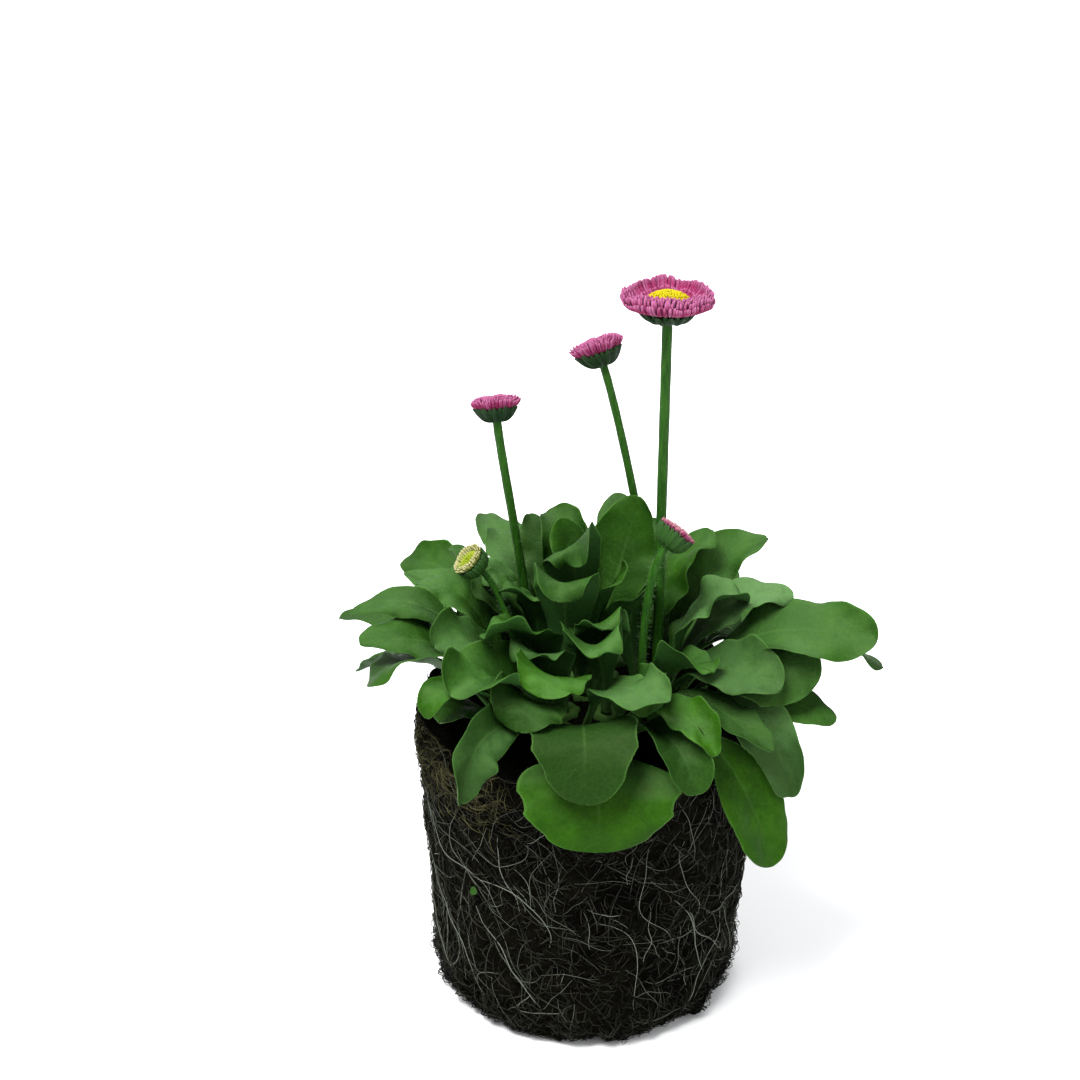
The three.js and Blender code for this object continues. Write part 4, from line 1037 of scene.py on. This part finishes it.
def hair_part(path, radius, use):
    """Fine hairs on a stem: each stands out square to it at a drawn place and turn, bends up and thins to a
    point."""
    k = np.arange(HAIRS)
    at = draw(k, use) * (len(path) - 2)
    low = at.astype(int)
    f = (at - low)[:, None]
    root = path[low] * (1 - f) + path[low + 1] * f
    tangent = unit(path[low + 1] - path[low])
    across = unit(np.cross(tangent, [0.3, 1, 0.2]))
    over = np.cross(tangent, across)
    turn = 2 * math.pi * draw(k, use + 1)[:, None]
    out = (np.cos(turn) * across + np.sin(turn) * over)[:, None]
    t = np.linspace(0, 1, 4)[None, :, None]
    reach = HAIR_LENGTH * spread(k, use + 2, 0.5, 1.1)[:, None, None]
    bend = spread(k, use + 3, -0.2, 0.7)[:, None, None]
    hairs = root[:, None] + out * (radius * 0.95 + reach * t) + tangent[:, None] * reach * bend * t ** 2
    return skin(tube(hairs, HAIR_RADIUS * (1 - 0.8 * t[..., 0]), 3), 0.5, 0.5, tone=1.0, kind=STEM)


def dome_height(share, height):
    """The height of a disc's dome at a share of its radius, by the root of one minus three quarters of its
    square."""
    return height * np.sqrt(1 - 0.75 * share ** 2) - height * 0.15


def disc_part(axes, radius, height, count):
    """The disc: florets on a golden angle spiral over a dome, each a small swollen tube that closes at its
    top."""
    k = np.arange(count)
    share = np.sqrt((k + 0.5) / count)
    r = radius * share
    h = dome_height(share, height) + spread(k, 91, -0.12, 0.12)
    angle = np.radians(GOLDEN) * k
    base = round_head(axes, r * 0.96, h - 1.3, angle)
    top = round_head(axes, r, h, angle)
    size = radius * 0.95 / math.sqrt(count)
    rise = np.array([0.0, 0.55, 0.8, 0.95, 1.0])
    girth = size * np.array([0.7, 0.8, 1.0, 0.75, 0.12])
    path = base[:, None] + (top - base)[:, None] * rise[None, :, None]
    rings = tube(path, girth[None] * spread(k, 92, 0.85, 1.15)[:, None], 6)
    tone = draw(k, 93)[:, None, None]
    return skin(rings, share[:, None, None], 0.5, tone=tone, rise=rise[None, :, None])


def dome_part(axes, radius, height):
    """The dome under the disc florets."""
    share = np.array([1.0, 1.0, 0.9, 0.7, 0.45, 0.2, 0.02])
    h = dome_height(share, height) - 0.55
    h[0] = -0.1
    rings = bowl_rings(axes, radius * share * 0.98, h, round_about(28))
    return skin(rings, share[None, :, None], 0.5, tone=0.3, rise=0.0)


def ray_finish(name, base, body, tip, shade):
    """Ray florets: pale at the base, then the body colour, lighter at the very tip, darker on the outer
    face, with fine streaks along them, pale specks and a drawn tone for each."""
    ray = Finish(name)
    u, v = ray.uv()
    tone = ray.shade("tone")
    outer = ray.shade("outer")
    place = ray.place()
    streak = ((v * 26 + tone * 9).math("SINE") * 0.5 + 0.5) * ray.step(u, 0.1, 0.4)
    fleck = ray.noise(place, 0.5, 2, 0.7)
    speck = ray.step(ray.noise(place, 0.36, 2, 0.6), 0.54, 0.66)
    colour = ray.layers(
        ray.blend(ray.step(u, 0.02, 0.38), base, body),
        (ray.step(u, 0.72, 1.0) * 0.75, tip),
        (outer * ray.step(u, 1.0, 0.3) * 0.85, shade),
        (ray.step(tone, 0.35, 0.0) * 0.6, shade),
        (ray.step(tone, 0.6, 1.0) * 0.5, tip),
        (streak * 0.28 + ray.step(fleck, 0.55, 0.75) * 0.25, shade),
        (speck * (outer * 0.3 + 0.3), tip),
    )
    bump = ray.bump(streak * -0.5 + fleck * 0.3, 0.15, 0.5)
    return ray.finish(
        colour, 0.62 + fleck * 0.1, bump, (0.12, (1.0, 0.4, 0.5), 1.0), Specular_IOR_Level=0.15, IOR=1.35)


def green_finish():
    """Stems and bracts: deep green with streaks along them, paler hairs, and ribs and paler margins on
    bracts."""
    green = Finish("stem_and_bract")
    u, v = green.uv()
    tone = green.shade("tone")
    kind = green.shade("kind")
    place = green.place()
    streak = green.noise(green.stretched(place, (1.0, 1.0, 0.12)), 0.8, 3, 0.6)
    grain = green.noise(place, 0.6, 2, 0.6)
    stem = green.layers(
        green.blend(green.step(streak, 0.3, 0.7), (0.008, 0.043, 0.002), (0.018, 0.077, 0.004)),
        (green.step(tone, 0.7, 1.0) * 0.8, (0.12, 0.2, 0.1)),
    )
    ribs = ((v - 0.5) * 38).math("SINE") * 0.5 + 0.5
    margin = green.step((v - 0.5).math("ABSOLUTE"), 0.38, 0.5) * 0.3 + green.step(u, 0.75, 1.0) * 0.35
    bract = green.layers(
        green.blend(ribs * 0.6 + grain * 0.3, (0.003, 0.013, 0.0035), (0.009, 0.033, 0.007)),
        (green.step(kind, 0.7, 0.9) * 0.7, green.blend(ribs, (0.014, 0.05, 0.006), (0.028, 0.088, 0.012))),
        (margin, (0.035, 0.075, 0.025)),
    )
    on_bract = green.step(kind, 0.2, 0.3)
    bump = green.bump(streak * 0.5 + ribs * on_bract * 0.6 + grain * 0.3, 0.3, 0.6)
    return green.finish(
        green.blend(on_bract, stem, bract), 0.5 + grain * 0.15, bump, (0.08, (0.4, 1.0, 0.15), 1.0),
        Specular_IOR_Level=0.15, IOR=1.42)


def disc_finish(name, rim, middle, deep):
    """Disc florets: one colour at the rim, another in the middle, and painted shade down between them."""
    disc = Finish(name)
    u, _ = disc.uv()
    grain = disc.noise(disc.place(), 0.3, 2, 0.6)
    colour = disc.layers(
        disc.blend(disc.step(u, 0.35, 0.95), middle, rim),
        (disc.shade("tone") * 0.25, rim),
        # Painted shade low on each floret, down between them.
        (disc.step(disc.shade("rise"), 0.85, 0.45), deep),
    )
    return disc.finish(
        colour, 0.6 + grain * 0.1, disc.bump(grain, 0.12, 0.5), (0.15, (1.0, 0.8, 0.2), 1.0),
        Specular_IOR_Level=0.12)


def make_blooms():
    """For each head a hairy stem, a cup with rings of bracts, rings of rays and, where it shows, a disc."""
    green = green_finish()
    petals = {name: ray_finish(name + "_ray_floret", *colours) for name, colours in RAY_COLOURS.items()}
    eyes = {name: disc_finish(name + "_disc_floret", *colours) for name, colours in DISC_COLOURS.items()}
    for index, (name, head) in enumerate(HEADS.items()):
        form = sized(FORMS[head["form"]], head["size"])
        axes = head_frame(head)
        path = stem_path(head, form["neck"])
        hairs = hair_part(path[:-2], head["stem"], HAIR_DRAWS + 10 * index)
        stem = [stem_part(path, head["stem"]), hairs]
        add_piece("stem_" + name, stem, green, ["stem_and_cup_" + name])
        cup = [bowl_part(axes, form["bowl"], form["kind"])]
        for i, ring in enumerate(form["bracts"]):
            cup.append(bract_ring(axes, ring, BRACT_DRAWS + 10 * i + 3 * index, form["kind"]))
        add_piece("bracts_" + name, cup, green)
        rays = [ray_ring(axes, ring, RAY_DRAWS + 7 * i + 50 * index) for i, ring in enumerate(form["rays"])]
        slot = "pale_ray" if form["petal"] == "pale" else "pink_ray"
        add_piece("rays_" + name, rays, petals[form["petal"]], ["ray_florets_" + name])
        if "disc" in form:
            parts = [dome_part(axes, *form["disc"][:2]), disc_part(axes, *form["disc"])]
            add_piece("disc_" + name, parts, eyes[form["eye"]], ["disc_florets_" + name])


# Root ball

# Radius and height up the side of the ball, from its flat foot to its top.
BALL_PROFILE = [
    (36.5, 0), (40.5, 1.2), (42.6, 5), (43.9, 14), (44.8, 34),
    (46.2, 55), (47.6, 74), (48.3, 85), (47, 91), (44, 92.8),
]
BALL_TOP = 92.8
BALL_RADIUS = 46  # about halfway up
FIBRE_TOP = 91  # no fibre lies higher
FOOT_ROWS = 10
SIDE_ROWS = 140
TOP_ROWS = 30
BALL_ANGLES = 400

# Fibres on the side of the ball: how many and which draws they use, their length, slope in degrees, the band
# of heights where they start, their points, how high they stand off the crumbs, how often they are averaged,
# the draws and range of their radius, their corners, the range of their paleness, and the angles where they
# start, unless that is all round.
FIBRE_KEYS = [
    "count", "use", "length", "slope", "band", "points", "lift", "times", "radius_use", "radius", "corners",
    "paleness", "angles"]
ANY_SLOPE = (-180, 180)
ALL_ROUND = (0, 360)
LEFT = (-172, -118)
FIBRES = {
    "short": [5600, 500, (3, 11), ANY_SLOPE, (1.5, 91), 5, (0.3, 1.5), 1, 520, (0.06, 0.19), 3, (0, 0.9)],
    "loose": [700, 680, (3, 8), ANY_SLOPE, (1.5, 9), 6, (1, 2.6), 1, 700, (0.07, 0.2), 3, (0, 0.7)],
    "fine": [520, 540, (7, 28), (-140, -10), (16, 90), 16, (0.5, 1.1), 2, 600, (0.06, 0.11), 4, (0, 0.7)],
    "long": [54, 560, (20, 54), (-125, -30), (34, 88), 26, (0.7, 1.3), 2, 610, (0.09, 0.17), 6, (0.2, 1)],
    "cross": [46, 580, (10, 28), (-40, 50), (6, 80), 16, (0.6, 1.2), 2, 620, (0.08, 0.15), 5, (0.2, 0.9)],
    "rim": [420, 640, (3, 10), ANY_SLOPE, (74, 91), 8, (0.6, 1.8), 1, 660, (0.06, 0.12), 3, (0, 1), LEFT],
}

# Pieces of fibres: their finish and which fibres they hold.
FIBRE_PIECES = {
    "peat_fibres": ("peat_fibre", ["short"]),
    "loose_fibres": ("peat_fibre", ["loose"]),
    "pale_roots": ("pale_root", ["fine", "long", "cross"]),
    "moss_fibres": ("moss_fibre", ["rim"]),
}

# The seed leaf on the side of the ball, and the way it faces.
SEED_LEAF = {"centre": (-31.3, -36.0, 49.7), "axis": (-0.6, -0.7, 0.4), "radius": 1.2}

# Colours of fibres: the darkest and the palest of each kind.
FIBRE_COLOURS = {
    "peat_fibre": ((0.0034, 0.0034, 0.0024), (0.0235, 0.0235, 0.0155)),
    "pale_root": ((0.022, 0.0235, 0.018), (0.135, 0.15, 0.12)),
    "moss_fibre": ((0.014, 0.0145, 0.006), (0.085, 0.08, 0.031)),
}


def side_relief(angle, z):
    """Three sine waves about the ball that turn with height, none at the foot."""
    waves = (
        0.45 * np.sin(3 * angle + 0.05 * z)
        + 0.35 * np.sin(7 * angle - 0.11 * z + 1)
        + 0.25 * np.sin(13 * angle + 0.23 * z + 2)
    )
    return waves * clamp(z / 12)


def crumble(points):
    """How far crumbs stand off the ball: noise of four sizes, the coarser ones stronger near the lower
    edge."""
    low = np.exp(-(points[..., 2] / 9) ** 2)
    return (
        lumps(points, 8.0, 1) * (0.55 + 0.9 * low)
        + lumps(points, 3.4, 2) * (0.6 + 1.1 * low)
        + np.abs(lumps(points, 1.7, 3)) * (0.75 + 0.9 * low)
        + lumps(points, 0.9, 4) * 0.3
        - 0.4
    )


def side_radius(angle, z):
    """The radius of the crumbled side at an angle and height."""
    smoothed = np.interp(z, *np.array(BALL_PROFILE).T[::-1]) + side_relief(angle, z)
    return smoothed + crumble(upright_points(smoothed, z, angle))


def average(paths, times):
    """Paths with their inner points averaged with their neighbours, along the axis before the last."""
    for _ in range(times):
        paths = paths.copy()
        paths[..., 1:-1, :] = 0.25 * paths[..., :-2, :] + 0.5 * paths[..., 1:-1, :] + 0.25 * paths[..., 2:, :]
    return paths


def ball_part():
    """The ball: its profile turned about the axis from the middle of the foot, up the side and back to the
    middle of the top, with every point moved along the profile's normal by the side waves and the crumbs.
    The foot stays flat."""
    side = np.array(BALL_PROFILE, float)
    steps = np.concatenate([[0], np.cumsum(np.linalg.norm(np.diff(side, axis=0), axis=1))])
    t = np.linspace(0, steps[-1], SIDE_ROWS)
    side = average(np.stack([np.interp(t, steps, side[:, 0]), np.interp(t, steps, side[:, 1])], -1), 3)
    foot = np.stack([np.linspace(0.3, 36, FOOT_ROWS), np.zeros(FOOT_ROWS)], -1)
    top = np.stack([np.linspace(43.3, 0.4, TOP_ROWS), np.full(TOP_ROWS, BALL_TOP)], -1)
    profile = np.concatenate([foot, side, top])
    slope = unit(np.gradient(profile, axis=0))
    angle = round_about(BALL_ANGLES)
    r = profile[:, :1] + 0 * angle
    z = profile[:, 1:] + 0 * angle
    wall = smooth(r / 40) * (z < BALL_TOP - 0.3)
    crumbs = crumble(upright_points(r, z, angle)) * smooth(z / 3 + 0.05)
    move = side_relief(angle, z) * wall + crumbs
    r = r + slope[:, 1:] * move
    z = np.maximum(z - slope[:, :1] * move, 0)
    # The move goes to the soil finish, which paints shade where the surface sinks in.
    return skin(upright_points(r, z, angle)[None], angle[None, None] / 6.3, 0.5, pit=move[None])


def fibre_paths(fibres):
    """Middle lines of fibres that lie on the side of the ball. Each starts at a drawn angle and height and
    runs at a drawn slope that wanders by two sine waves. Its lift over the crumbs is greatest midway, and
    its ends dive in. Averaging lets it bridge the dips."""
    k = np.arange(fibres["count"])[:, None]
    use = fibres["use"]
    steps = fibres["points"]
    t = np.linspace(0, 1, steps)[None]
    reach = spread(k, use, *fibres["length"])
    wander = (
        spread(k, use + 1, -0.9, 0.9) * np.sin(t * spread(k, use + 2, 2, 6) + k)
        + spread(k, use + 3, -0.35, 0.35) * np.sin(t * 13 + 2 * k)
    )
    way = np.radians(spread(k, use + 4, *fibres["slope"])) + wander
    pace = reach / (steps - 1)
    z = spread(k, use + 5, *fibres["band"]) + np.cumsum(np.sin(way), axis=1) * pace
    start = np.radians(spread(k, use + 6, *fibres["angles"]))
    angle = start + np.cumsum(np.cos(way), axis=1) * pace / BALL_RADIUS
    z = np.clip(z, 1.2 + 2 * draw(k, use + 7), FIBRE_TOP)
    rise = -0.35 + spread(k, use + 8, *fibres["lift"]) * np.sin(math.pi * t) ** 0.5
    return average(upright_points(side_radius(angle, z) + rise, z, angle), fibres["times"])


def fibre_part(fibres):
    """Fibres round their paths, thinner at both ends, each with a drawn paleness."""
    k = np.arange(fibres["count"])[:, None]
    use = fibres["radius_use"]
    t = np.linspace(0, 1, fibres["points"])[None]
    radius = spread(k, use, *fibres["radius"]) * (0.45 + 0.55 * np.sin(math.pi * clamp(t * 0.9 + 0.05)))
    tone = spread(k, use + 1, *fibres["paleness"])[..., None]
    return skin(tube(fibre_paths(fibres), radius, fibres["corners"]), t[..., None], 0.5, tone=tone)


def soil_finish():
    """Peat: near black and brown by noise of several sizes, with painted shade in the pits, and short fibre
    streaks."""
    soil = Finish("peat")
    place = soil.place()
    broad = soil.noise(place, 7, 3, 0.6)
    crumbs = soil.noise(place, 1.3, 4, 0.7)
    streaks = soil.noise(soil.stretched(place, (1.0, 1.0, 0.22), (0.4, 0.7, 0.3)), 0.45, 3, 0.75)
    colour = soil.layers(
        soil.blend(soil.step(crumbs, 0.35, 0.7), (0.0014, 0.0014, 0.001), (0.004, 0.0037, 0.0024)),
        (soil.step(streaks, 0.56, 0.72) * 0.8, (0.0125, 0.0125, 0.0075)),
        (soil.step(broad, 0.45, 0.75) * 0.35, (0.0075, 0.0072, 0.0045)),
        # Painted shade where the crumbled surface sinks in.
        (soil.step(soil.shade("pit"), -0.1, -0.9) * 0.8, (0.0013, 0.0012, 0.0009)),
    )
    return soil.finish(colour, 1.0, soil.bump(crumbs + streaks * 0.6, 0.7, 0.9), Specular_IOR_Level=0.01)


def fibre_finish(name, dark, pale):
    """Roots and peat fibres: from dark to pale by the drawn tone of each, with blotches along them."""
    fibre = Finish(name)
    grain = fibre.noise(fibre.place(), 1.5, 3, 0.6)
    colour = fibre.blend(fibre.step(fibre.shade("tone") + grain * 0.5 - 0.25, 0.0, 1.0), dark, pale)
    return fibre.finish(colour, 0.8, fibre.bump(grain, 0.15, 0.5), Specular_IOR_Level=0.1)


def seed_leaf_part(centre, axis, radius):
    """A seed leaf that has come up on the side of the ball: a shallow cup with three soft lobes."""
    axis = unit(np.array(axis, float))
    across = unit(np.cross([0, 0, 1], axis))
    profile = [(0.05, -0.12), (0.6, -0.1), (0.95, 0.1), (1.0, 0.25), (0.9, 0.22), (0.5, 0.08), (0.05, 0.02)]
    r, h = radius * np.array(profile).T[..., None]
    angle = round_about(24)
    r = r * (1 + 0.08 * np.cos(3 * angle))
    axes = (across, np.cross(axis, across), axis, np.array(centre))
    rings = round_head(axes, r, h + 0 * angle, 0 * r + angle)
    # Its facing number of 0 gives it the painted shade of a leaf turned from the light.
    return skin(
        rings[None], 0.9, 0.3, tone=0.8, fresh=0.4, dull=0.5, dark=0.0, side=0.0, sky=0.0, broad=0.1)


def make_ball():
    """The crumbled ball, its fibres and roots, and the seed leaf on its side."""
    add_piece("peat", [ball_part()], soil_finish(), ["root_ball"])
    finishes = {name: fibre_finish(name, *colours) for name, colours in FIBRE_COLOURS.items()}
    for name, (finish, kinds) in FIBRE_PIECES.items():
        parts = [fibre_part({"angles": ALL_ROUND, **dict(zip(FIBRE_KEYS, FIBRES[kind]))}) for kind in kinds]
        add_piece(name, parts, finishes[finish])
    add_piece("seed_leaf", [seed_leaf_part(**SEED_LEAF)], bpy.data.materials["leaf_blade"])


# Stage

# Metres and degrees from here on.
FLOOR_HALF = 6
SOFT_LIGHTS = {
    "key": ((-0.45, -0.5, 1.6), 0.7, 58),
    "fill": ((0.9, -0.9, 0.9), 1.0, 6),
    "back": ((0.3, 1.0, 1.2), 0.9, 18),
}
LIGHT_AIM = 0.12  # the height that the lamps face
SKY_COLOUR = (0.95, 0.97, 1.0, 1)
SKY_STRENGTH = 0.6
EYE = (0, -1.05424, 0.76262)
EYE_PITCH = 30.41
EYE_YAW = 0.7128
LENS = 146.04
SENSOR = 36


def add_object(name, data):
    """An object of the scene that holds the data."""
    thing = bpy.data.objects.new(name, data)
    bpy.context.scene.collection.objects.link(thing)
    return thing


def make_stage():
    """A pale floor, soft studio light and a camera at the photo's viewing angle. Colours are shown as they
    are."""
    bpy.context.scene.view_settings.view_transform = "Standard"
    floor = bpy.data.meshes.new("floor")
    corners = [(x * FLOOR_HALF, y * FLOOR_HALF, 0) for x, y in ((-1, -1), (1, -1), (1, 1), (-1, 1))]
    floor.from_pydata(corners, [], [(0, 1, 2, 3)])
    floor.materials.append(Finish("floor").finish((0.86, 0.86, 0.86), 0.9))
    add_object("floor", floor)
    world = bpy.data.worlds.new("studio")
    world.use_nodes = True
    background = world.node_tree.nodes["Background"]
    background.inputs[0].default_value = SKY_COLOUR
    background.inputs[1].default_value = SKY_STRENGTH
    bpy.context.scene.world = world
    for name, (place, size, power) in SOFT_LIGHTS.items():
        soft_light(name, place, size, power)
    camera = bpy.data.cameras.new("camera")
    camera.lens = LENS
    camera.sensor_width = SENSOR
    camera.clip_start = 0.05
    eye = add_object("camera", camera)
    eye.location = EYE
    eye.rotation_euler = (math.radians(90 - EYE_PITCH), 0, math.radians(EYE_YAW))
    bpy.context.scene.camera = eye


def soft_light(name, place, size, power):
    """A square lamp that faces the plant."""
    lamp = bpy.data.lights.new(name, "AREA")
    lamp.size = size
    lamp.energy = power
    holder = add_object(name, lamp)
    x, y, z = place
    holder.location = place
    holder.rotation_euler = (math.atan2(math.hypot(x, y), z - LIGHT_AIM), 0, math.atan2(x, -y))


make_stage()
make_leaves()
make_blooms()
make_ball()
